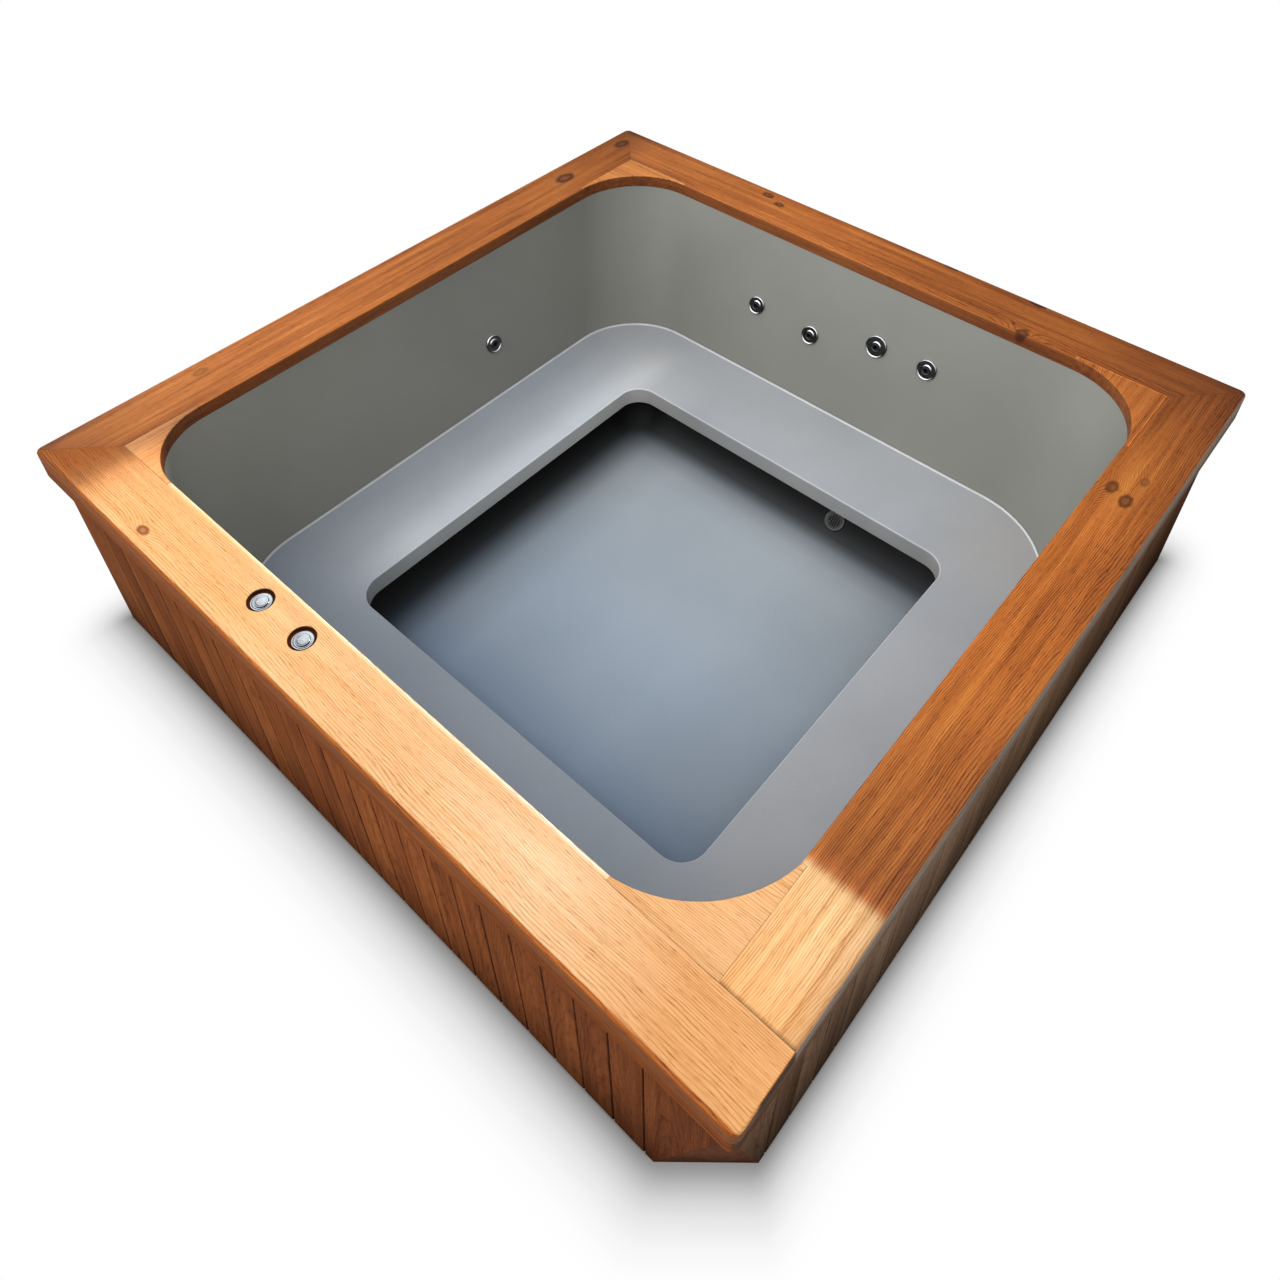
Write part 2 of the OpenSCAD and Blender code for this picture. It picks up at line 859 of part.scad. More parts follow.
module jet_nozzle_3() {
    jet_nozzle(2);
}

module jet_nozzle_4() {
    jet_nozzle(3);
}

module jet_nozzle_5() {
    jet_nozzle(4);
}

// Air buttons

bezel_t = 3;
body_hole_d = bezel_d - 4;
housing_d = body_hole_d - 1;
shoulder_z = tub_h - button_hole_depth;
housing_floor = rim_z + 4;
housing_floor_t = 3;
cap_top = shoulder_z + bezel_t + 2;
cap_t = 4;
cap_skirt = cap_travel + 9;
barb_d = 8;
barb_l = 24;
bellows_r = cap_d / 2 - 3.5;

module at_button(i) {
    translate([button_x[i], button_in - half, 0]) children();
}

module button_housings() {
    color("#b9bdc2") for (i = [0:1])
        at_button(i) difference() {
            union() {
                translate([0, 0, shoulder_z]) rotate_extrude($fn = 96) polygon([
                    [0, 0], [bezel_d / 2, 0], [bezel_d / 2, bezel_t - 1.2],
                    [bezel_d / 2 - 1, bezel_t - 0.2], [bezel_d / 2 - 2.5, bezel_t],
                    [cap_d / 2 + 2.5, bezel_t - 1], [0, bezel_t - 1]
                ]);
                translate([0, 0, housing_floor])
                    cylinder(d = housing_d, h = shoulder_z - housing_floor, $fn = 64);
                translate([0, 0, housing_floor - barb_l]) cylinder(d = barb_d, h = barb_l, $fn = 32);
            }
            translate([0, 0, housing_floor + housing_floor_t])
                cylinder(d = cap_d, h = board_t, $fn = 96);
            translate([0, 0, housing_floor - barb_l - eps])
                cylinder(d = barb_d - 4, h = barb_l + 2 * eps + housing_floor_t, $fn = 32);
        }
}

// Dished cap with a short skirt that runs in the housing.
module button_cap(i) {
    r = cap_d / 2 - cap_fit;
    color("#c8ccd0") at_button(i) translate([0, 0, cap_top]) rotate_extrude($fn = 96) polygon([
        [0, -cap_t], [r - 2.5, -cap_t], [r - 2.5, -cap_skirt], [r, -cap_skirt],
        [r, -1.6], [r - 0.6, -0.5], [r - 1.8, 0], [r - 3.4, -0.3], [r - 6, -1.2], [0, -1.8]
    ]);
}

// Rubber bellows that lifts the cap.
module button_bellows(i) {
    low = housing_floor + housing_floor_t;
    high = cap_top - cap_t;
    folds = 3;
    step = (high - low) / folds;
    wall = 1.2;
    outer = [
        for (k = [0:folds - 1]) each [
            [bellows_r - 2.5, low + k * step], [bellows_r, low + (k + 0.5) * step]
        ],
        [bellows_r - 2.5, high]
    ];
    inner = [for (k = [len(outer) - 1:-1:0]) [outer[k][0] - wall, outer[k][1]]];
    color("#303234") at_button(i) rotate_extrude($fn = 48) polygon(concat(outer, inner));
}

module button_cap_1() {
    button_cap(0);
}

module button_cap_2() {
    button_cap(1);
}

module button_bellows_1() {
    button_bellows(0);
}

module button_bellows_2() {
    button_bellows(1);
}

// Pump, heater and pipes, in the room behind the back wall

pump_y = (wall_edge[3] + rail_half) / 2 + 14;
pump_z = base_t + wet_end_d / 2 + 20;
wet_end_x0 = 110;
wet_end_l = 80;
inlet_l = 25;
wet_end_x1 = wet_end_x0 + wet_end_l;
heater_z = pump_z + wet_end_d / 2 + heater_d / 2 + 25;
heater_x0 = -230;
heater_x1 = wet_end_x0;
discharge_x = wet_end_x0 + wet_end_l / 2;
feed_d = 40;
manifold_y = rail_half - 60;
manifold_rise = 90;
manifold_z = heater_z + manifold_rise;
terminal_l = 140;
terminal_w = 60;
terminal_t = 40;
terminal_up = 22;
side_run = 130;
manifold_x0 = -430;
manifold_x1 = 380;

// A run of pipe through points, with a bend fitting at each turn that is wider than the pipe.
bend = 1.2;

module pipe(points, d) {
    n = len(points);
    for (i = [0:n - 2]) {
        v = points[i + 1] - points[i];
        l = norm(v);
        translate(points[i]) rotate([0, acos(v[2] / l), atan2(v[1], v[0])])
            cylinder(d = d, h = l, $fn = 32);
    }
    if (n > 2)
        for (i = [1:n - 2])
            translate(points[i]) sphere(d = bend * d, $fn = 32);
}

module pump_motor() {
    fins = 16;
    color("#3a3d40") translate([0, pump_y, pump_z]) rotate([0, -90, 0]) translate([0, 0, -wet_end_x0]) {
        difference() {
            cylinder(d = motor_d, h = motor_l, $fn = 64);
            for (a = [0:fins - 1])
                rotate([0, 0, (a + 0.5) * 360 / fins]) translate([motor_d / 2 - 4, -3, 20])
                    cube([8, 6, motor_l - 60]);
        }
        translate([0, 0, motor_l]) cylinder(d1 = motor_d - 8, d2 = motor_d - 40, h = 14, $fn = 64);
    }
    color("#3a3d40") for (x = [wet_end_x0 - 60, wet_end_x0 - motor_l + 20])
        translate([x, pump_y - motor_d * 0.4, base_t])
            difference() {
                cube([30, motor_d * 0.8, pump_z - base_t]);
                translate([-eps, motor_d * 0.4, pump_z - base_t]) rotate([0, 90, 0])
                    cylinder(d = motor_d - 10, h = 30 + 2 * eps, $fn = 64);
            }
}

module pump_wet_end() {
    color("#2b2d30") {
        translate([wet_end_x0, pump_y, pump_z]) rotate([0, 90, 0]) {
            cylinder(d = wet_end_d, h = wet_end_l * 0.7, $fn = 64);
            translate([0, 0, wet_end_l * 0.7])
                cylinder(d1 = wet_end_d, d2 = wet_end_d * 0.55, h = wet_end_l * 0.3, $fn = 64);
            cylinder(d = suction_pipe_d + 12, h = wet_end_l + inlet_l, $fn = 48);
        }
        translate([discharge_x, pump_y, pump_z])
            cylinder(d = feed_d + 10, h = wet_end_d / 2 + 15, $fn = 48);
    }
}

module heater() {
    color("#9ea3a7") translate([heater_x0, pump_y, heater_z]) rotate([0, 90, 0]) {
        cylinder(d = heater_d, h = heater_x1 - heater_x0, $fn = 64);
        for (x = [0, heater_x1 - heater_x0 - 14])
            translate([0, 0, x]) cylinder(d = heater_d + 14, h = 14, $fn = 64);
        translate([0, 0, (heater_x1 - heater_x0) / 2]) rotate([0, 0, 90])
            translate([-terminal_w / 2, -heater_d / 2 - terminal_up, -terminal_l / 2])
                cube([terminal_w, terminal_t, terminal_l]);
    }
}

// The end of a jet's water port, and its direction.
function port_dir(i) = jets[i][4] == 0
    ? [0, -sin(back_tilt), -cos(back_tilt)]
    : [sin(left_tilt), 0, -cos(left_tilt)];
function wall_n(i) = jets[i][4] == 0
    ? [0, -cos(back_tilt), sin(back_tilt)]
    : [cos(left_tilt), 0, sin(left_tilt)];
function port_end(i) = [jets[i][0], jets[i][1], jets[i][2]]
    - port_deep * wall_n(i) + port_l * port_dir(i);

module water_lines() {
    lead = bend * hose_d / 2 + 1;
    side_x = wall_edge[0] - side_run;
    side_y = manifold_y - 30;
    run_z = manifold_z - 30;
    color("#d9d9d5") {
        pipe([
            [discharge_x, pump_y, pump_z + wet_end_d / 2 + 15], [discharge_x, pump_y, heater_z],
            [heater_x1, pump_y, heater_z]
        ], feed_d);
        pipe([
            [heater_x0, pump_y, heater_z], [heater_x0 - 45, pump_y, heater_z],
            [heater_x0 - 45, manifold_y, manifold_z]
        ], feed_d);
        pipe([[manifold_x0, manifold_y, manifold_z], [manifold_x1, manifold_y, manifold_z]], manifold_d);
        for (i = [0:len(back_jets) - 1])
            pipe([
                port_end(i), port_end(i) + lead * port_dir(i),
                [jets[i][0], manifold_y, manifold_z]
            ], hose_d);
        for (i = [len(back_jets):jet_count() - 1])
            pipe([
                port_end(i), port_end(i) + lead * port_dir(i), [side_x, jets[i][1], run_z],
                [side_x, side_y, run_z], [manifold_x0 - 90, side_y, run_z],
                [manifold_x0 + 10, manifold_y, manifold_z]
            ], hose_d);
    }
}

module suction_pipe() {
    end = [wet_end_x1 + inlet_l, pump_y, pump_z];
    color("#d9d9d5") pipe([
        [suction_x, outlet_y + outlet_reach, outlet_z],
        [suction_x, pump_y, outlet_z], [suction_x, pump_y, pump_z], end
    ], suction_pipe_d);
}

// Control box behind the left wall, and the two air tubes that run to it

box_x0 = -(rail_half - 10);
box_w = 130;
box_y0 = -300;
box_l = 260;
box_h = 200;
lid_t = 8;
lid_step = 4;

module control_box() {
    color("#55585b") {
        translate([box_x0, box_y0, base_t]) cube([box_w, box_l, box_h - lid_t]);
        translate([box_x0 - lid_step, box_y0 + lid_step, base_t + box_h - lid_t])
            cube([box_w, box_l - 2 * lid_step, lid_t]);
    }
}

module air_lines() {
    tube_x = box_x0 + box_w * 0.6;
    color("#b8bcc0") for (i = [0:1]) {
        z = base_t + box_h - 40 - 20 * i;
        y = button_in - half;
        pipe([
            [button_x[i], y, housing_floor - barb_l], [button_x[i], y, z],
            [tube_x + 12 * i, y, z], [tube_x + 12 * i, box_y0, z]
        ], air_d);
    }
}

rim_board_front();
rim_board_right();
rim_board_back();
rim_board_left();
rim_infill_front();
rim_infill_right();
rim_infill_back();
rim_infill_left();
rim_apron_front();
rim_apron_right();
rim_apron_back();
rim_apron_left();
cladding_front();
cladding_right();
cladding_back();
cladding_left();
facet_board();
rails_front();
rails_right();
rails_back();
rails_left();
post_front();
post_right();
post_back();
post_left();
base_panel();
bench_bearers();
tub_shell();
bench();
bench_seal();
footwell_pan();
suction_cover();
suction_body();
jet_gaskets();
jet_fittings();
jet_bodies();
jet_ring_1();
jet_ring_2();
jet_ring_3();
jet_ring_4();
jet_ring_5();
jet_nozzle_1();
jet_nozzle_2();
jet_nozzle_3();
jet_nozzle_4();
jet_nozzle_5();
button_housings();
button_cap_1();
button_cap_2();
button_bellows_1();
button_bellows_2();
pump_motor();
pump_wet_end();
heater();
water_lines();
suction_pipe();
control_box();
air_lines();
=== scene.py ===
import functools
import json
import math

import bpy
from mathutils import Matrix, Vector


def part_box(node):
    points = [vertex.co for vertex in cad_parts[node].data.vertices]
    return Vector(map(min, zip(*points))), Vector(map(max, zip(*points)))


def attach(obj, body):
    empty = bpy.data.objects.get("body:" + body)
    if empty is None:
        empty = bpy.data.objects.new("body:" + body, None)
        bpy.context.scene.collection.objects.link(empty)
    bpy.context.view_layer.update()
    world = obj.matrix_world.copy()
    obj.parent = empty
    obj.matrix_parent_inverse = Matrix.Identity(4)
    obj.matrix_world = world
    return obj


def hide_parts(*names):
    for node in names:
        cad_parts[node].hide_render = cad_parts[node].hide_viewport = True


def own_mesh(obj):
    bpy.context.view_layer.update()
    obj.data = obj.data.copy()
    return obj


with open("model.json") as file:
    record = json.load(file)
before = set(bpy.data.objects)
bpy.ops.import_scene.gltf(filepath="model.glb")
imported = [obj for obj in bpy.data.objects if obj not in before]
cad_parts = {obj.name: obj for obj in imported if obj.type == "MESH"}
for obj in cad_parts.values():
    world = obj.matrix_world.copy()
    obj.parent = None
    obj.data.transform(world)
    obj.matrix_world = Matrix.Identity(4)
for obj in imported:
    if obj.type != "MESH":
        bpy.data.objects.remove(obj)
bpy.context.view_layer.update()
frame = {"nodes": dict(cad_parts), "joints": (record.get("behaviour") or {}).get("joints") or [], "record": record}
mm = 0.001

# Sizes that the pieces share, all read from the frame, in metres

rimLow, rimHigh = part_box("rim_board_front")
cladLow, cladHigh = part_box("cladding_front")
apronLow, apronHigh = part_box("rim_apron_front")
benchLow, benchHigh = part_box("bench")
shellLow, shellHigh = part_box("tub_shell")
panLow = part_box("footwell_pan")[0]

half = rimHigh.x
rimBottom, rimTop = rimLow.z, rimHigh.z
notchHalf = -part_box("rim_board_right")[0].y      # where the right board butts against the front one


# View, floor and light

viewOfTheTub = {
    "place": (1.37936, -1.60483, 2.69049),
    "turn": 41.026,          # degrees to the left of +Y
    "down": 40.654,          # degrees below the horizon
    "lens": 30.475,          # mm on the sensor below
    "sensor": 36,
    "shift": (-0.0109, -0.2078),
}

studio = {
    # broad soft lights in the sky: where each stands, and its strength
    "skyLights": {
        "leftFront": ((-0.579, -0.579, 0.574), 2.3),
        "rightFront": ((0.579, -0.579, 0.574), 0.72),
        "leftBack": ((-0.579, 0.579, 0.574), 0.2),
        "rightBack": ((0.579, 0.579, 0.574), 0.35),
        "overhead": ((0, 0, 1), 0.19),
    },
    "floorSize": 60,
    "floorGlow": 1,        # how bright the paper looks
    "floorBounce": 0.40,     # and how much light it sends back to the tub
    "contactReach": 0.235,   # metres from the tub's foot to where its soft shadow ends
    "contactSqueeze": (1.35, 1, 1),      # it is narrower at the left and right sides
    "contactTurn": 0.04,     # metres over which it turns the corners of the facet
    "contactShades": [
        (0, "#6c6a68"), (0.02, "#8c8a89"), (0.08, "#9f9f9f"), (0.16, "#b9b9b9"),
        (0.28, "#d5d5d5"), (0.4, "#e6e6e6"), (0.6, "#f6f6f6"), (0.8, "#fdfdfd"), (1, "#ffffff"),
    ],
    # where the sun falls on the rim: left, right, near and far edges
    "sunPatches": {"frontBoard": (-0.93, 1.4, -1.4, -0.92), "nearCorner": (0.7, 1.4, -0.92, -0.71)},
    "sunPower": 4.25,        # for one square metre
    "sunColour": "#fff0dc",
    "sunTilt": 42,         # degrees from straight down, coming over the back of the tub
    "sunDistance": 4,
    "sunSpread": 1.5,        # degrees, so the patches keep their edges
}


def toLinear(hexColour):
    parts = [int(hexColour[i:i + 2], 16) / 255 for i in (1, 3, 5)]
    return tuple(c / 12.92 if c <= 0.04045 else ((c + 0.055) / 1.055) ** 2.4 for c in parts) + (1,)


def addNode(tree, what, inputs=(), stops=(), **settings):
    # Adds one node, and gives back its output. what is its kind and, for a calculation, its
    # operation. An input is a plain value, a hex colour or another node's output; a noise's are
    # vector, w, scale, detail and roughness. A ramp's stop is a place, and a hex colour, three
    # linear factors or one for all three.
    kind, _, operation = what.partition(" ")
    node = tree.nodes.new("ShaderNode" + kind)
    if operation:
        node.operation = operation
    for key, value in settings.items():
        setattr(node, key, value)
    for i, (place, colour) in enumerate(stops):
        elements = node.color_ramp.elements
        while len(elements) < len(stops):
            elements.new(0.5)
        if isinstance(colour, str):
            colour = toLinear(colour)[:3]
        elements[i].position = place
        elements[i].color = (*(colour if isinstance(colour, tuple) else [colour] * 3), 1)
    for place, value in inputs.items() if isinstance(inputs, dict) else enumerate(inputs):
        if isinstance(value, bpy.types.NodeSocket):
            tree.links.new(value, node.inputs[place])
        else:
            node.inputs[place].default_value = toLinear(value) if isinstance(value, str) else value
    return next(socket for socket in node.outputs if socket.enabled)


# Settings that several nodes share
asFloats, asColours = {"data_type": "FLOAT"}, {"data_type": "RGBA"}
multiplied = {"data_type": "RGBA", "blend_type": "MULTIPLY"}
eased = {"interpolation_type": "SMOOTHSTEP"}


def setUp(name, data, place, turn):
    # Stands a camera or a light in the scene.
    holder = bpy.data.objects.new(name, data)
    holder.location = place
    holder.rotation_euler = turn
    bpy.context.scene.collection.objects.link(holder)
    return holder


def setCamera():
    camera = bpy.data.cameras.new("tubCamera")
    camera.sensor_width = viewOfTheTub["sensor"]
    camera.lens = viewOfTheTub["lens"]
    camera.shift_x, camera.shift_y = viewOfTheTub["shift"]
    camera.clip_start, camera.clip_end = 0.05, 200
    down, turn = (math.radians(viewOfTheTub[key]) for key in ("down", "turn"))
    turns = (math.radians(90) - down, 0, turn)
    bpy.context.scene.camera = setUp("tubCamera", camera, viewOfTheTub["place"], turns)


def setSky():
    world = bpy.data.worlds.new("studioWhite")
    bpy.context.scene.world = world
    world.use_nodes = True
    tree = world.node_tree
    add = functools.partial(addNode, tree)
    way = add("TexCoord").node.outputs["Generated"]
    total = 0
    for place, strength in studio["skyLights"].values():
        facing = add("VectorMath DOT_PRODUCT", [way, place]).node.outputs["Value"]
        lit = add("Math MAXIMUM", [facing, 0])
        total = add("Math MULTIPLY_ADD", [add("Math MULTIPLY", [lit, lit]), strength, total])
    rays = add("LightPath").node.outputs
    # seen directly, the backdrop is plain white
    shown = add("Mix", {0: rays["Is Camera Ray"], 2: total, 3: 1}, **asFloats)
    background = tree.nodes["Background"]
    background.inputs["Color"].default_value = toLinear("#ffffff")
    tree.links.new(shown, background.inputs["Strength"])


def setFloor():
    bpy.ops.mesh.primitive_plane_add(size=studio["floorSize"], location=(0, 0, 0))
    floor = bpy.context.object
    floor.name = "studioFloor"
    # glowing white paper, with a painted soft shadow at the tub's foot
    paper = bpy.data.materials.new("glowingWhitePaper")
    paper.use_nodes = True
    tree = paper.node_tree
    tree.nodes.remove(tree.nodes["Principled BSDF"])
    add = functools.partial(addNode, tree)
    spot = add("TexCoord").node.outputs["Object"]
    aside = add("VectorMath ABSOLUTE", [spot])
    aside = add("VectorMath SUBTRACT", [aside, (cladHigh.x, cladHigh.x, 0)])
    aside = add("VectorMath MAXIMUM", [aside, (0, 0, 0)])
    aside = add("VectorMath MULTIPLY", [aside, studio["contactSqueeze"]])
    away = add("VectorMath LENGTH", [aside]).node.outputs["Value"]
    corner = facetFootNormal.dot(facetApex + facetFront)
    beyond = add("VectorMath DOT_PRODUCT", [spot, facetFootNormal]).node.outputs["Value"]
    beyond = add("Math SUBTRACT", [beyond, corner])
    away = add("Math SMOOTH_MAX", [away, beyond, studio["contactTurn"]])
    reach = add("Math DIVIDE", [away, studio["contactReach"]])
    shade = add("ValToRGB", [reach], stops=studio["contactShades"])
    rays = add("LightPath").node.outputs
    glow = {0: rays["Is Camera Ray"], 2: studio["floorBounce"], 3: studio["floorGlow"]}
    glow = add("Mix", glow, **asFloats)
    light = add("Emission", [shade, glow])
    tree.links.new(light, tree.nodes["Material Output"].inputs["Surface"])
    floor.data.materials.append(paper)


def setSun():
    # Narrow warm panels whose light falls on one patch of the rim each.
    tilt = math.radians(studio["sunTilt"])
    back = Vector((0, math.sin(tilt), math.cos(tilt))) * studio["sunDistance"]
    for patch, (left, right, near, far) in studio["sunPatches"].items():
        aim = Vector(((left + right) / 2, (near + far) / 2, rimTop))
        place = aim + back
        size = (right - left, (far - near) * math.cos(tilt))
        panel = bpy.data.lights.new(f"sunPanel_{patch}", "AREA")
        panel.shape = "RECTANGLE"
        panel.size, panel.size_y = size
        panel.energy = studio["sunPower"] * size[0] * size[1]
        panel.color = toLinear(studio["sunColour"])[:3]
        panel.spread = math.radians(studio["sunSpread"])
        setUp(panel.name, panel, place, (aim - place).to_track_quat("-Z", "Y").to_euler())


# Materials

def newMaterial(name, constants):
    # Gives the material, its Object coordinates, addNode for its own tree, and a function that
    # joins a colour, a roughness and a bump to its surface.
    material = bpy.data.materials.new(name)
    material.use_nodes = True
    tree = material.node_tree
    surface = tree.nodes["Principled BSDF"].inputs
    for key, value in constants.items():
        surface[key].default_value = value
    add = functools.partial(addNode, tree)

    def join(colour, rough, bump):
        tree.links.new(colour, surface["Base Color"])
        tree.links.new(rough, surface["Roughness"])
        tree.links.new(bump, surface["Normal"])

    return material, add("TexCoord").node.outputs["Object"], add, join


def layOver(add, place, colour, covers, shade=None):
    # Lays covers over a colour, one after another. (axis, start, end, stops) multiplies it by tones
    # that change along an axis; more items, (axis, none, full), fade these by how far a point is
    # from the tub's middle. (colours, axis, start, full) brings in another colour set.
    axes = add("SeparateXYZ", [place]).node.outputs
    for first, *rest in covers:
        if isinstance(first, tuple):
            axis, start, full = rest
            over = add("ValToRGB", [shade], stops=list(zip(shadeSteps, first)))
            amount = add("MapRange", [axes[axis], start, full, 0, 1], **eased)
        else:
            start, end, stops, *fades = rest
            over = add("ValToRGB", [add("MapRange", [axes[first], start, end, 0, 1])], stops=stops)
            amount = 1
            for fadeAxis, none, full in fades:
                fromMiddle = add("Math ABSOLUTE", [axes[fadeAxis]])
                fade = add("MapRange", [fromMiddle, none, full, 0, 1], **eased)
                amount = add("Math MULTIPLY", [amount, fade])
        how = asColours if isinstance(first, tuple) else multiplied
        colour = add("Mix", {0: amount, 6: colour, 7: over}, **how)
    return colour


# Mapping turns that bring a board's length, width and depth to X, Y and Z
turnToGrain = {"X": (0, 0, 0), "Y": (0, 0, -90), "Zx": (90, 0, 90), "Zy": (0, 90, 0)}

boardGrain = {
    "ringSpacing": 4,      # mm between growth rings
    "heartDepth": 150,       # mm from the board's face to the middle of the tree
    "taper": 0.035,          # how fast the rings rise along the board
    "wander": 0.1,           # metres that the heart line strays aside
    "waver": 0.008,          # metres that a ring strays
    "jointShadow": 4,        # mm of dark on both sides of a joint between boards
}


def cells(length, width):
    # noise cells in a metre for streaks of this length and width in mm
    return (1000 / length, 1 / (width * mm), 1 / (width * mm))


# The patterns: cells in a metre along, across and into the board, then detail and roughness. Real
# fibres and pores are far finer, but these have to show from two metres.
woodPatterns = {
    "wander": ((1.3, 2.5, 2.5), 2, 0.5),
    "waver": ((9, 40, 40), 3, 0.5),
    "fibres": (cells(120, 1.8), 3, 0.65),
    "streaks": ((2.2, 60, 60), 3, 0.6),
    "clouds": ((1.8, 7, 7), 2, 0.5),
    "pores": (cells(26, 1.4), 1, 0.4),
}

knotShape = {                # the last four are times the knot's size
    "stretch": (0.62, 1, 0.3),
    "reach": 2.6,            # how far it bends the rings
    "lift": 1.1,             # and how much
    "blotch": 0.5,           # how uneven its edge is
    "edge": 1.8,
}

shadeSteps = (0.1, 0.38, 0.6, 0.88)      # where a set's four colours stand, from dark to pale
# painted sunlight: a paler copy of the rim's colours, for where the sun falls on the rim
paintedSunColours = ("#8a5b33", "#b48857", "#c39c70", "#d4b28a")
russetColours = ("#52240b", "#955220", "#b2682f", "#c8853f")
claddingAndSideShadeColours = ("#43200c", "#733d1b", "#8a4d25", "#a26434")      # the cladding's colour, and painted shade on the rim boards' side faces
# painted shade on the front board's side faces
frontSideShadeColours = ("#46220b", "#774019", "#8f5123", "#a8672f")
rightSideShadeColours = ("#4e3f35", "#7d6b5d", "#93806f", "#a99684")      # painted shade on the right-hand side, greyer and darker
rimWood = {
    "colours": russetColours, "knot": "#35180b",
    "rings": 0.55, "fibres": 0.5, "streaks": 0.85, "clouds": 0.5, "pores": 0.25,
    "roughness": 0.5, "relief": 0.4, "gloss": 0.22,
}
# the rim's wood where painted sunlight falls on it
paintedSunWood = {
    **rimWood, "colours": paintedSunColours, "knot": "#6b3317",
    "rings": 0.48, "streaks": 0.4, "clouds": 0.36, "gloss": 0.08,
}
claddingWood = {
    **rimWood, "colours": claddingAndSideShadeColours, "knot": "#2a120a",
    "streaks": 0.7, "clouds": 0.45, "rings": 0.26, "roughness": 0.62, "gloss": 0.03,
}
# the right-hand side's wood, in painted shade
rightSideShadeWood = {**claddingWood, "colours": rightSideShadeColours, "gloss": 0}
sawnWood = {
    **rimWood, "colours": ("#a5804e", "#c4a06c", "#d2b382", "#dfc69a"), "pores": 0.1,
    "roughness": 0.7, "relief": 0.6,
}


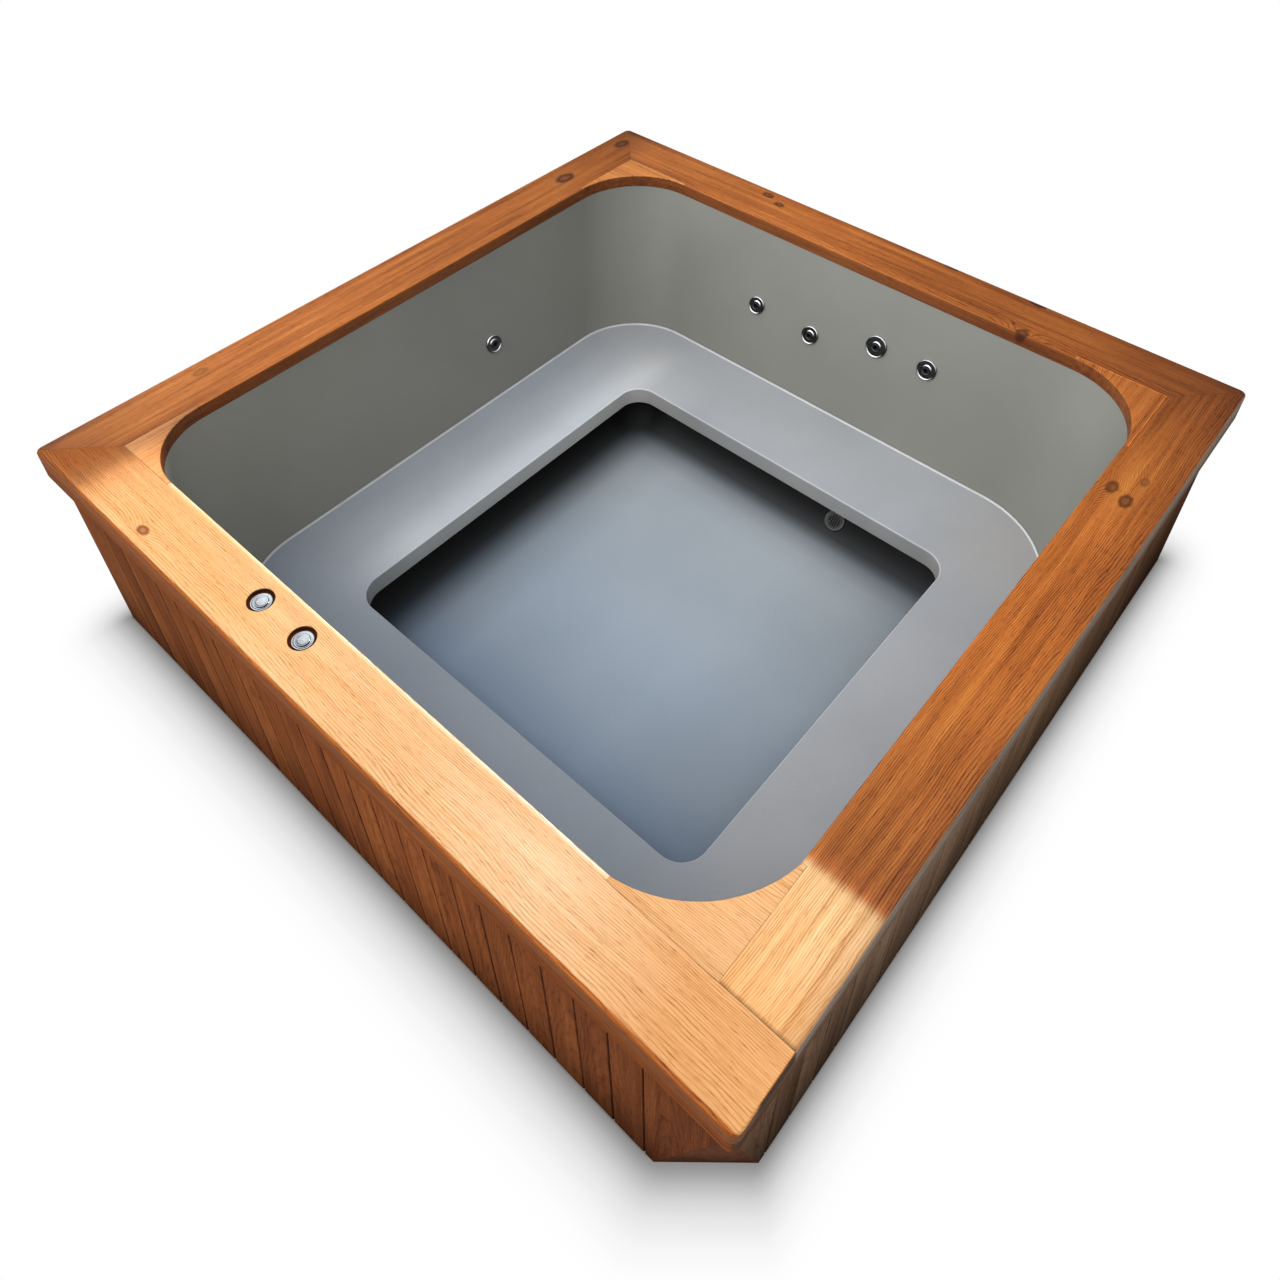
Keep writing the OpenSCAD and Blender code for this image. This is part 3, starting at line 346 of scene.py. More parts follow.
def makeWood(name, look, along, heart=0, knots=(), covers=(), boards=None):
    # Sawn, planed and oiled boards. The rings are cylinders round a heart line under the face, so a
    # face shows fine dark lines that waver and close to arches over the heart; a knot lifts the
    # rings, and they close round it.
    constants = {"IOR": 1.48, "Specular IOR Level": look["gloss"]}
    material, place, add, join = newMaterial(name, constants)
    grain = boardGrain
    turn = tuple(math.radians(a) for a in turnToGrain[along])
    turned = add("Mapping", {0: place, "Rotation": turn})
    heartHeight = rimTop - grain["heartDepth"] * mm
    length, across, depth = add("SeparateXYZ", [turned]).node.outputs
    if boards:
        # every board takes its grain from another part of the tree, and has its own tone
        count = add("Math MULTIPLY_ADD", [across, boards["sign"], boards["start"]])
        count = add("Math DIVIDE", [count, boards["pitch"]])
        # the boards at both ends are wider than the rest
        low, high = boards["span"]
        inside = add("Math MINIMUM", [add("Math MAXIMUM", [count, low]), high])
        index = add("Math FLOOR", [inside])
        chance = add("TexWhiteNoise", {"W": index}, noise_dimensions="1D").node.outputs
        turned = add("VectorMath MULTIPLY_ADD", [chance["Color"], (3, 3, 3), turned])
        parts = add("SeparateColor", [chance["Color"]]).node.outputs
        length = add("Math MULTIPLY_ADD", [parts[0], 3, length])
        # a heart line from 2.1 boards to one side of the board to 1.1 boards to the other
        aside = add("Math MULTIPLY_ADD", [parts[1], 3.2, -2.1])
        across = add("Math ADD", [add("Math SUBTRACT", [count, index]), aside])
        across = add("Math MULTIPLY", [across, boards["pitch"]])
        depth = add("Math MULTIPLY_ADD", [parts[2], 0.05, heartHeight + 0.05])

    pattern = {}
    for what, (perMetre, detail, rough) in woodPatterns.items():
        spot = add("VectorMath MULTIPLY", [turned, perMetre])
        pattern[what] = add("TexNoise", [spot, 0, 1, detail, rough])
    fibres = pattern["fibres"]

    wander = grain["wander"]
    aside = add("Math MULTIPLY_ADD", [pattern["wander"], wander, -wander / 2 - heart])
    aside = add("Math ADD", [aside, across])
    below = add("Math MULTIPLY_ADD", [length, grain["taper"], -heartHeight])
    below = add("Math ADD", [below, depth])
    square = add("Math MULTIPLY_ADD", [below, below, add("Math MULTIPLY", [aside, aside])])
    fromHeart = add("Math SQRT", [square])
    field = add("Math MULTIPLY_ADD", [pattern["waver"], grain["waver"], fromHeart])
    darkest = None
    for alongIt, acrossIt, size, dark in knots:
        fromKnot = add("VectorMath SUBTRACT", [turned, (alongIt, acrossIt, rimTop)])
        flat = add("VectorMath MULTIPLY", [fromKnot, knotShape["stretch"]])
        reach = add("VectorMath LENGTH", [flat]).node.outputs["Value"]
        fall = add("Math DIVIDE", [reach, size * knotShape["reach"]])
        fall = add("Math MULTIPLY", [add("Math MULTIPLY", [fall, fall]), -1])
        bent = add("Math EXPONENT", [fall])
        field = add("Math MULTIPLY_ADD", [bent, size * knotShape["lift"], field])
        blot = add("TexNoise", [turned, 0, 90, 3, 0.6])
        edge = add("Math MULTIPLY_ADD", [blot, size * knotShape["blotch"], reach])
        ring = add("MapRange", [edge, 0, size * knotShape["edge"], 0, 1])
        # a brown eye in a darker ring
        eyeStops = [(0.3, 0.65 * dark), (0.5, dark), (0.62, 0.9 * dark), (0.8, 0)]
        eye = add("ValToRGB", [ring], stops=eyeStops)
        darkest = eye if darkest is None else add("Math MAXIMUM", [darkest, eye])

    rings = add("Math FRACT", [add("Math DIVIDE", [field, grain["ringSpacing"] * mm])])
    ringStops = [(0, 0.6), (0.45, 0.66), (0.68, 0.5), (0.86, 0), (1, 0.5)]
    lateWood = add("ValToRGB", [rings], stops=ringStops)
    pore = add("MapRange", [pattern["pores"], 0.6, 0.7, 0, 1])
    # the dark ring lines are strong in some streaks and faint in others
    force = add("TexNoise", [turned, 0, 26, 2])
    force = add("MapRange", [force, 0.3, 0.7, 0.35 * look["rings"], 1.5 * look["rings"]])
    lines = add("Math MULTIPLY", [add("Math SUBTRACT", [lateWood, 0.5]), force])
    offset = 0.5 - 0.5 * (look["fibres"] + look["streaks"] + look["clouds"])
    shade = add("Math ADD", [lines, offset])
    for what in ("fibres", "streaks", "clouds"):
        shade = add("Math MULTIPLY_ADD", [pattern[what], look[what], shade])
    shade = add("Math MULTIPLY_ADD", [pore, -look["pores"], shade])
    if boards:
        tone = boards["spread"]
        tone = add("Math MULTIPLY_ADD", [chance["Value"], tone, -tone / 2])
        shade = add("Math ADD", [shade, tone])
        # a dark line of shadow lies in every V joint
        fromJoint = add("Math PINGPONG", [inside, 0.5])
        shadow = grain["jointShadow"] * mm / boards["pitch"]
        joint = add("MapRange", [fromJoint, 0, shadow, -0.45, 0])
        shade = add("Math ADD", [shade, joint])
    colour = add("ValToRGB", [shade], stops=list(zip(shadeSteps, look["colours"])))
    colour = layOver(add, place, colour, covers, shade)
    if darkest is not None:
        colour = add("Mix", {0: darkest, 6: colour, 7: look["knot"]}, **asColours)
    rough = add("Math MULTIPLY_ADD", [fibres, 0.25, look["roughness"] - 0.12])
    relief = add("Math MULTIPLY_ADD", [lateWood, 0.6, fibres])
    relief = add("Math SUBTRACT", [relief, pore])
    lift = {"Strength": look["relief"], "Distance": 0.35 * mm, "Height": relief}
    join(colour, rough, add("Bump", lift))
    return material


gelcoatLooks = {
    "walls": {"colours": ("#787872", "#8a8a84"), "roughness": 0.42, "gloss": 0.45},
    "bench": {"colours": ("#8b929b", "#a7adb5"), "roughness": 0.36, "gloss": 0.45},
    "pan": {"colours": ("#93a0ae", "#a9b4c0"), "roughness": 0.5, "gloss": 0.14},
}
# painted light and shade on each part of the gelcoat
gelcoatPaintedLight = {
    # painted light on the walls, paler towards the front
    "walls": [(1, -0.95, 0.3, [(0, (1.25, 1.24, 1.23)), (0.6, 1.12), (1, 1)])],
    # painted light on the bench: a painted sheen beside its left lip, neutral at the back and right, and bluish
    # painted shade in front
    "bench": [
        (0, -0.86, -0.26, [
            (0, 1), (0.15, 1), (0.35, (1.22, 1.21, 1.19)), (0.5, (1.68, 1.65, 1.58)),
            (0.56, (1.72, 1.69, 1.62)), (0.66, (1.3, 1.28, 1.24)), (1, 1),
        ], (1, 0.78, 0.42)),
        (0, 0.55, 0.75, [(0, 1), (1, (1.04, 0.98, 0.93))]),
        (1, -0.9, -0.55, [(0, (0.82, 0.88, 0.96)), (1, 1)]),
        (1, 0.35, 0.62, [(0, 1), (1, (1.06, 1.01, 0.95))]),
        # the lip: painted shade on its grey face under a thin painted highlight on its edge
        (2, 0.205, 0.215, [
            (0, (0.92, 0.87, 0.80)), (0.55, (0.98, 0.93, 0.86)), (0.68, (1.5, 1.46, 1.4)),
            (0.94, (1.5, 1.46, 1.4)), (0.99, 1),
        ]),
    ],
    # painted shade: almost no light gets under the bench's two far lips, and little along the near one
    "pan": [
        (0, -0.58, -0.26, [(0, 0.01), (0.17, 0.06), (0.3, 0.32), (0.55, 0.76), (1, 1)]),
        # painted shade, darker towards the right
        (0, 0.25, 0.65, [(0, 1), (1, 0.74)]),
        (1, 0.56, 0.30, [(0, 0.01), (0.25, 0.1), (0.45, 0.6), (0.7, 0.9), (1, 1)]),
        # bluish painted shade along the near lip, a little warmer at the back
        (1, -0.70, 0.25, [
            (0, (0.5, 0.58, 0.68)), (0.11, (0.68, 0.75, 0.85)), (0.25, (0.86, 0.89, 0.92)),
            (0.51, (0.95, 0.97, 0.99)), (0.66, (1, 1, 0.99)), (1, (1.02, 0.97, 0.91)),
        ]),
        # painted shade on the sloping sides, almost black
        (2, 0.033, 0.075, [(0, 1), (1, 0.1)]),
    ],
}


def makeGelcoat(name, part):
    # Satin gelcoat, sprayed into a mould: an even colour with faint clouds, and a soft broad shine, with painted
    # light and shade laid over it.
    look = gelcoatLooks[part]
    constants = {"IOR": 1.5, "Specular IOR Level": look["gloss"]}
    material, place, add, join = newMaterial(name, constants)
    clouds = add("TexNoise", [place, 0, 2.4, 3])
    speckle = add("TexNoise", [place, 0, 420, 1])
    amount = add("Math MULTIPLY_ADD", [clouds, 0.8, -0.075])
    amount = add("Math MULTIPLY_ADD", [speckle, 0.35, amount])
    colour = add("ValToRGB", [amount], stops=list(zip((0.1, 0.9), look["colours"])))
    colour = layOver(add, place, colour, gelcoatPaintedLight[part])
    rough = add("Math MULTIPLY_ADD", [clouds, 0.2, look["roughness"] - 0.1])
    peel = add("TexNoise", [place, 0, 160, 2])       # orange peel, about 6 mm across
    lift = {"Strength": 0.12, "Distance": 0.2 * mm, "Height": peel}
    join(colour, rough, add("Bump", lift))
    return material


def makePlainFinish(
    name, dark, pale, roughness, grainSize, relief, metallic=0, gloss=0.5, paintedLightByTilt=(), rings=()
):
    # One pattern for the moulded, plated, painted and drawn parts: faint tone and relief at the
    # size in mm of the real surface's grain, with slow patches of wear in the shine.
    # paintedLightByTilt paints light and shade on a polished part by how far its faces turn to a
    # direction, in place of its reflections; rings paint light and shade by the distance from a place.
    constants = {"Metallic": metallic, "Specular IOR Level": gloss}
    material, place, add, join = newMaterial(name, constants)
    grain = add("VectorMath MULTIPLY", [place, tuple(1000 / (3 * g) for g in grainSize)])
    grain = add("TexNoise", [grain, 0, 1, 2])
    patches = add("TexNoise", [place, 0, 9, 3])
    amount = add("Math MULTIPLY_ADD", [patches, 0.7, add("Math MULTIPLY", [grain, 0.4])])
    colour = add("ValToRGB", [amount], stops=[(0.3, dark), (0.8, pale)])
    if paintedLightByTilt:
        normal = place.node.outputs["Normal"]
        facing = add("VectorMath DOT_PRODUCT", [normal, paintedLightByTilt[0]]).node.outputs["Value"]
        tone = add("ValToRGB", [facing], stops=paintedLightByTilt[1])
        colour = add("Mix", {0: 1, 6: colour, 7: tone}, **multiplied)
    if rings:
        centre, radius, stops = rings
        away = add("VectorMath DISTANCE", [place, centre]).node.outputs["Value"]
        tone = add("ValToRGB", [add("Math DIVIDE", [away, radius])], stops=stops)
        colour = add("Mix", {0: 1, 6: colour, 7: tone}, **multiplied)
    rough = add("Math MULTIPLY_ADD", [patches, 0.16, roughness - 0.08])
    join(colour, rough, add("Bump", {"Strength": relief, "Distance": 0.1 * mm, "Height": grain}))
    return material


# Shared modelling moves

def makeActive(piece):
    bpy.ops.object.select_all(action="DESELECT")
    piece.select_set(True)
    bpy.context.view_layer.objects.active = piece


def applyPlace(piece):
    makeActive(piece)
    bpy.ops.object.transform_apply(location=True, rotation=True, scale=True)


def applyStep(piece, kind, **settings):
    # Adds one modifier with its settings, and applies it.
    makeActive(piece)
    step = piece.modifiers.new("step", kind)
    for key, value in settings.items():
        setattr(step, key, value)
    bpy.ops.object.modifier_apply(modifier="step")


def named(piece, name):
    piece.name = piece.data.name = name
    return piece


def block(name, low, high):
    # A cuboid between two corners, to be shaped further.
    low, high = Vector(low), Vector(high)
    bpy.ops.mesh.primitive_cube_add(size=1, location=(low + high) / 2)
    piece = named(bpy.context.object, name)
    piece.scale = high - low
    applyPlace(piece)
    return piece


def rod(radius, length, place, direction=(0, 0, 1), vertices=96):
    # A round cutter with its middle at place.
    turn = Vector(direction).to_track_quat("Z", "Y").to_euler()
    bpy.ops.mesh.primitive_cylinder_add(
        vertices=vertices, radius=radius, depth=length, location=place, rotation=turn
    )
    piece = bpy.context.object
    applyPlace(piece)
    return piece


def turnToSide(piece, quarterTurns):
    piece.rotation_euler.z = quarterTurns * math.pi / 2
    applyPlace(piece)
    return piece


def copyOf(piece, name, quarterTurns):
    twin = piece.copy()
    twin.data = piece.data.copy()
    bpy.context.scene.collection.objects.link(twin)
    return named(turnToSide(twin, quarterTurns), name)


def allFourSides(piece, name):
    # The front piece and its three copies, each with its own mesh.
    return [piece] + [copyOf(piece, f"{name}_{sideNames[i]}", i) for i in (1, 2, 3)]


def editAll(piece):
    makeActive(piece)
    bpy.ops.object.mode_set(mode="EDIT")
    bpy.ops.mesh.select_all(action="SELECT")


def selectWhere(piece, kind, test):
    # Enters edit mode with the vertices, edges or faces selected that pass the test.
    makeActive(piece)
    bpy.ops.object.mode_set(mode="EDIT")
    bpy.ops.mesh.select_mode(type=kind)
    bpy.ops.mesh.select_all(action="DESELECT")
    bpy.ops.object.mode_set(mode="OBJECT")
    mesh = piece.data
    items, places = {
        "VERT": (mesh.vertices, lambda corner: [corner.co]),
        "EDGE": (mesh.edges, lambda edge: [mesh.vertices[i].co for i in edge.vertices]),
        "FACE": (mesh.polygons, lambda face: [face.center]),
    }[kind]
    for item in items:
        item.select = test(*places(item))
    bpy.ops.object.mode_set(mode="EDIT")


def leaveEdit():
    bpy.ops.object.mode_set(mode="OBJECT")


def near(a, b):
    return abs(a - b) < 2e-5


def level(a, b, axis, value):
    # whether both ends of an edge are at one place along an axis
    return near(a[axis], value) and near(b[axis], value)


def upright(a, b):
    return near(a.x, b.x) and near(a.y, b.y)


def onCircle(p, x, y, radius):
    return abs(math.hypot(p.x - x, p.y - y) - radius) < 1e-4


def roundEdges(piece, radius, segments, test):
    # test gets both ends of an edge
    selectWhere(piece, "EDGE", test)
    bpy.ops.mesh.bevel(offset=radius, offset_type="OFFSET", segments=segments, affect="EDGES")
    leaveEdit()


def cutAway(piece, point, normal):
    # Takes off what lies on the normal's side of a plane, and closes the cut.
    editAll(piece)
    bpy.ops.mesh.bisect(plane_co=point, plane_no=normal, use_fill=True, clear_outer=True)
    leaveEdit()


def mitre(piece, end, reach):
    # Cuts a front piece at 45 degrees through the tub's corner at its left (-1) or right (1) end.
    cutAway(piece, (end * reach, -reach, 0), (end, 1, 0))


def combine(piece, other, how):
    applyStep(piece, "BOOLEAN", operation=how, solver="EXACT", object=other)
    bpy.data.objects.remove(other)


def easeEdges(piece, width):
    # The hand-sanded edge that catches the light along every joint.
    applyStep(
        piece, "BEVEL", width=width, segments=2, limit_method="ANGLE",
        angle_limit=math.radians(50), use_clamp_overlap=False
    )


def finish(piece, material):
    # Cleans the mesh, and gives the piece its material, its body and its slot.
    editAll(piece)
    bpy.ops.mesh.remove_doubles(threshold=1e-6)
    bpy.ops.mesh.normals_make_consistent(inside=False)
    leaveEdit()
    bpy.ops.object.shade_smooth_by_angle(angle=math.radians(30))
    piece.data.materials.clear()
    piece.data.materials.append(material)
    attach(piece, "tub")


def joinAll(pieces, name):
    makeActive(pieces[0])
    for piece in pieces:
        piece.select_set(True)
    bpy.ops.object.join()
    return named(bpy.context.object, name)


def roundedOutline(sides, radii, z):
    # One closed edge loop: a plane whose corners are bevelled, with its face taken off.
    x0, x1, y0, y1 = sides
    middle = ((x0 + x1) / 2, (y0 + y1) / 2, z)
    bpy.ops.mesh.primitive_plane_add(size=1, location=middle)
    outline = bpy.context.object
    outline.scale = (x1 - x0, y1 - y0, 1)
    applyPlace(outline)
    for (cx, cy), radius in zip(((x0, y0), (x1, y0), (x1, y1), (x0, y1)), radii):
        selectWhere(outline, "VERT", lambda p: near(p.x, cx) and near(p.y, cy))
        bpy.ops.mesh.bevel(
            offset=radius, offset_type="OFFSET", affect="VERTICES", segments=tubShape["cornerSteps"]
        )
        leaveEdit()
    selectWhere(outline, "FACE", lambda centre: True)
    bpy.ops.mesh.delete(type="ONLY_FACE")
    leaveEdit()
    return outline


def grown(sides, by):
    return [sides[0] - by, sides[1] + by, sides[2] - by, sides[3] + by]


def loft(name, stations, closed=True, floor=False):
    # stations: (sides, radii, height), one after another round the piece's section
    piece = named(roundedOutline(*stations[0]), name)
    ring = len(piece.data.vertices)

    def bridge(first, second):
        # two loops at one height are filled between, and any others are bridged
        selectWhere(piece, "EDGE", lambda a, b: False)
        leaveEdit()
        for edge in piece.data.edges:
            ends = {i // ring for i in edge.vertices}
            edge.select = ends == {first} or ends == {second}
        bpy.ops.object.mode_set(mode="EDIT")
        if near(stations[first][2], stations[second][2]):
            bpy.ops.mesh.fill()
        else:
            bpy.ops.mesh.bridge_edge_loops()
        leaveEdit()

    for i, station in enumerate(stations[1:], 1):
        piece = joinAll([piece, roundedOutline(*station)], name)
        bridge(i - 1, i)
    if closed:
        bridge(len(stations) - 1, 0)
    if floor:
        selectWhere(piece, "EDGE", lambda a, b: level(a, b, 2, stations[-1][2]))
        bpy.ops.mesh.edge_face_add()
        leaveEdit()
    return piece


# Rim: four boards, four corner infills and the strips under the outer edge

rimShape = {
    "overWater": 12 * mm,      # how far the boards stand out over the water from the notches
    "boardEdge": 6 * mm,       # radius of the rounded outer edges
    "innerEdge": 3 * mm,       # radius of the eased edge over the water
    "planCorner": 20 * mm,
    "openingRadius": 250 * mm,
    "leftCornerRadius": 200 * mm,
    "frontArcRadius": 300 * mm,
    "jointEase": 1.3 * mm,
    "holeDepth": 10 * mm,
    "holeRadius": 32.5 * mm,
    "holeEdge": 0.8 * mm,
    "throughRadius": 23.5 * mm,
    "cutter": 100 * mm,        # length of the cutters that go right through a board
}
openHalf = notchHalf - rimShape["overWater"]
arcStart = openHalf - rimShape["openingRadius"]
leftArcStart = openHalf - rimShape["leftCornerRadius"]
frontArcCentre = openHalf - rimShape["openingRadius"] / 2 - math.sqrt(
    rimShape["frontArcRadius"] ** 2 / 2 - (rimShape["openingRadius"] / 2) ** 2
)


def makeRimBoard(name, quarterTurns, leftEnd, rightEnd, leftArc, rightArc):
    # Made as the front board, then turned to its side. An end is mitred, butts, or runs through,
    # and the strip that stands out over the water runs between the opening's round corners.
    shape = rimShape
    board = block(name, (-half, -half, rimBottom), (half, -notchHalf, rimTop))
    roundEdges(board, shape["planCorner"], 8, lambda a, b: upright(a, b) and near(a.y, -half))
    nearSide, farSide = -notchHalf - 5 * mm, -openHalf
    inner = block("innerEdge", (-leftArc, nearSide, rimBottom), (rightArc, farSide, rimTop))
    roundEdges(inner, shape["innerEdge"], 4, lambda a, b: (
        level(a, b, 2, rimTop) and level(a, b, 1, farSide)
    ))
    roundEdges(board, shape["boardEdge"], 6, lambda a, b: (
        level(a, b, 2, rimTop) and not level(a, b, 1, -notchHalf)
    ))
    combine(board, inner, "UNION")
    for end, side in ((leftEnd, -1), (rightEnd, 1)):
        if end == "mitre":
            mitre(board, side, half)
        elif end == "butt":
            cutAway(board, (side * notchHalf, 0, 0), (side, 0, 0))
    return turnToSide(board, quarterTurns)


def cutButtonHoles(board):
    shape, radius = rimShape, rimShape["holeRadius"]
    for i in (1, 2):
        low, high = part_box(f"button_cap_{i}")
        x, y = (low.x + high.x) / 2, (low.y + high.y) / 2
        through = rod(shape["throughRadius"], shape["cutter"], (x, y, rimBottom))
        combine(board, through, "DIFFERENCE")
        combine(board, rod(radius, 2 * shape["holeDepth"], (x, y, rimTop)), "DIFFERENCE")
        roundEdges(board, shape["holeEdge"], 2, lambda a, b: (
            level(a, b, 2, rimTop) and all(onCircle(p, x, y, radius) for p in (a, b))
        ))


def makeInfill(name, sx, sy):
    # A square block with the opening's round corner cut out of it.
    shape = rimShape
    isLeft = sx < 0 and sy < 0
    start = leftArcStart if isLeft else arcStart
    xs, ys = (sorted((sign * start, sign * notchHalf)) for sign in (sx, sy))
    infill = block(name, (xs[0], ys[0], rimBottom), (xs[1], ys[1], rimTop))
    if (sx, sy) == (1, -1):
        radius, centre = shape["frontArcRadius"], frontArcCentre
        middle = (sx * centre, sy * centre, (rimBottom + rimTop) / 2)
        cutter = rod(radius, shape["cutter"], middle, vertices=192)
    else:
        radius = shape["leftCornerRadius" if isLeft else "openingRadius"]
        centre = openHalf - radius
        xs, ys = (sorted((0, sign * openHalf)) for sign in (sx, sy))
        cutter = block("opening", (xs[0], ys[0], 0), (xs[1], ys[1], 2 * rimTop))
        roundEdges(cutter, radius, 40, lambda a, b: (
            upright(a, b) and near(a.x, sx * openHalf) and near(a.y, sy * openHalf)
        ))
    combine(infill, cutter, "DIFFERENCE")
    roundEdges(infill, shape["innerEdge"], 4, lambda a, b: level(a, b, 2, rimTop) and all(
        onCircle(p, sx * centre, sy * centre, radius)
        or near(abs(p.x), openHalf) or near(abs(p.y), openHalf) for p in (a, b)
    ))
    return infill


apronShape = {"edge": 6 * mm, "corner": 20 * mm, "thickness": 22 * mm}


def makeApron(name):
    inside = -half + apronShape["thickness"]
    strip = block(name, (-half, -half, apronLow.z), (half, inside, apronHigh.z))
    roundEdges(strip, apronShape["corner"], 8, lambda a, b: upright(a, b) and near(a.y, -half))
    roundEdges(strip, apronShape["edge"], 5, lambda a, b: (
        level(a, b, 2, apronLow.z) and not level(a, b, 1, inside)
    ))
    for end in (-1, 1):
        mitre(strip, end, half)
    return strip


# Cladding: upright boards with V joints, and the facet board at the foot of the front corner

claddingShape = {
    "thickness": 20 * mm,
    "firstBoard": 190 * mm,
    "lastBoard": 162.5 * mm,
    "fieldBoards": 22,
    "vHalf": 3 * mm,           # half the width across a V joint
    "gap": 0.9 * mm,           # the dark line at the bottom of the V
    "facetWidth": 165 * mm,    # at the floor, on the button side
    "facetDepth": 141 * mm,    # at the floor, on the other side
    "facetHeight": 585 * mm,
    "facetBoard": 18 * mm,
    "facetSlab": 1.6,          # metres, large enough for the facet to be cut out of it
    "facetCut": 0.2,           # metres of cladding cut off outside the facet's plane
}
cladHalf = -cladLow.y
firstEdge = cladHalf - claddingShape["firstBoard"]
fieldWidth = 2 * cladHalf - claddingShape["firstBoard"] - claddingShape["lastBoard"]
boardPitch = fieldWidth / claddingShape["fieldBoards"]


def makeUprightBoard(name, fromX, toX, startV, endV):
    gap = claddingShape["gap"] / 2
    face, back = -cladHalf, -cladHalf + claddingShape["thickness"]
    low = (fromX + gap * startV, face, cladLow.z)
    high = (toX - gap * endV, back, cladHigh.z)
    board = block(name, low, high)
    joints = [x for x, cut in ((low[0], startV), (high[0], endV)) if cut]
    roundEdges(board, claddingShape["vHalf"] - gap, 1, lambda a, b: (
        level(a, b, 1, face) and near(a.x, b.x) and any(near(a.x, x) for x in joints)
    ))
    return board


def makeCladdingSide(name):
    # The first board is at the right-hand end, seen from outside.
    first = makeUprightBoard("firstBoard", firstEdge, cladHalf, 1, 0)
    field = makeUprightBoard("fieldBoard", firstEdge - boardPitch, firstEdge, 1, 1)
    applyStep(
        field, "ARRAY", count=claddingShape["fieldBoards"], use_relative_offset=False,
        use_constant_offset=True, constant_offset_displace=(-boardPitch, 0, 0)
    )
    lastEdge = -cladHalf + claddingShape["lastBoard"]
    last = makeUprightBoard("lastBoard", -cladHalf, lastEdge, 0, 1)
    mitre(first, 1, cladHalf)
    mitre(last, -1, cladHalf)
    return joinAll([first, field, last], name)


facetApex = Vector((cladHalf, -cladHalf, claddingShape["facetHeight"]))
facetFront = Vector((-claddingShape["facetWidth"], 0, -claddingShape["facetHeight"]))
facetSide = Vector((0, claddingShape["facetDepth"], -claddingShape["facetHeight"]))
facetNormal = facetFront.cross(facetSide).normalized()
footNormal = (claddingShape["facetDepth"], -claddingShape["facetWidth"], 0)
facetFootNormal = Vector(footNormal).normalized()


def makeFacetBody(name, outwards):
    # A slab that lies on the facet's plane, cut to a triangle along the facet's two edges.
    thick = claddingShape["facetBoard"] + outwards
    bpy.ops.mesh.primitive_cube_add(size=1)
    slab = named(bpy.context.object, name)
    slab.scale = (claddingShape["facetSlab"], claddingShape["facetSlab"], thick)
    slab.rotation_euler = facetNormal.to_track_quat("Z", "Y").to_euler()
    slab.location = facetApex + facetNormal * (outwards - thick / 2)
    applyPlace(slab)
    cutAway(slab, facetApex, facetFront.cross(facetNormal))
    cutAway(slab, facetApex, facetNormal.cross(facetSide))
    return slab


# Tub: moulded shell, bench and footwell pan

tubShape = {
    # how far the left, right, front and back walls lean in
    "runs": (138 * mm, 26 * mm, 11 * mm, 176 * mm),
    # the left, front, right and back corners at the foot
    "footRadii": (250 * mm, 310 * mm, 310 * mm, 250 * mm),
    "skin": 8 * mm,
    "jetHole": 22.5 * mm,      # radius
    "benchDepths": (312 * mm, 258 * mm, 259 * mm, 305 * mm),      # left, right, front, back
    "lipRadius": 74 * mm,
    "lipEdge": 4 * mm,
    "lipArc": (90, 72, 54, 36, 18, 0),
    "benchGap": 0.5 * mm,
    "panRun": 113 * mm,
    "panRadius": 60 * mm,
    "panFlange": 40 * mm,
    "panSkin": 6 * mm,
    "panFillet": 50 * mm,
    "filletSteps": 8,
    "cornerSteps": 16,
}
benchTop, deckTop = benchHigh.z, benchLow.z
shellUnder = shellLow.z
panFloor = panLow.z + tubShape["skin"]
inwards = (1, -1, 1, -1)
wallTop = [-openHalf, openHalf, -openHalf, openHalf]
wallFoot = [a + b * sign for a, b, sign in zip(wallTop, tubShape["runs"], inwards)]
wallTopRadii = [rimShape["leftCornerRadius"]] + [rimShape["openingRadius"]] * 3
lip = [a + b * sign for a, b, sign in zip(wallFoot, tubShape["benchDepths"], inwards)]


def wallAt(z, by=0):
    t = (z - benchTop) / (rimBottom - benchTop)
    sides = grown([a + (b - a) * t for a, b in zip(wallFoot, wallTop)], by)
    radii = [a + (b - a) * t + by for a, b in zip(tubShape["footRadii"], wallTopRadii)]
    return sides, radii, z


def lipAt(z, by=0):
    return grown(lip, by), [tubShape["lipRadius"] + by] * 4, z


def panAt(z, by=0):
    out = tubShape["panRun"] * (z - panFloor) / (shellUnder - panFloor) + by
    return grown(lip, out), [tubShape["panRadius"] + out] * 4, z


def makeShell(name):
    skin = tubShape["skin"]
    flange = [-shellHigh.x, shellHigh.x, -shellHigh.x, shellHigh.x]
    corner = [rimShape["planCorner"]] * 4
    hole = panAt(shellUnder)
    shell = loft(name, [
        (*hole[:2], deckTop), wallAt(deckTop), wallAt(benchTop), wallAt(rimBottom),
        (flange, corner, rimBottom), (flange, corner, rimBottom - skin),
        wallAt(rimBottom - skin, skin), wallAt(shellUnder, skin), hole,
    ])
    for joint in frame["joints"]:
        if joint["name"].startswith("jet_face_turn"):
            hole = rod(tubShape["jetHole"], 60 * mm, joint["pos_m"], joint["axis"], 64)
            combine(shell, hole, "DIFFERENCE")
    return shell


def makeBench(name):
    edge, gap = tubShape["lipEdge"], tubShape["benchGap"]
    arc = [math.radians(a) for a in tubShape["lipArc"]]
    return loft(name, [
        wallAt(deckTop, -gap), wallAt(benchTop, -gap),
        *(lipAt(benchTop - edge + edge * math.sin(a), edge - edge * math.cos(a)) for a in arc),
        lipAt(deckTop),
    ])


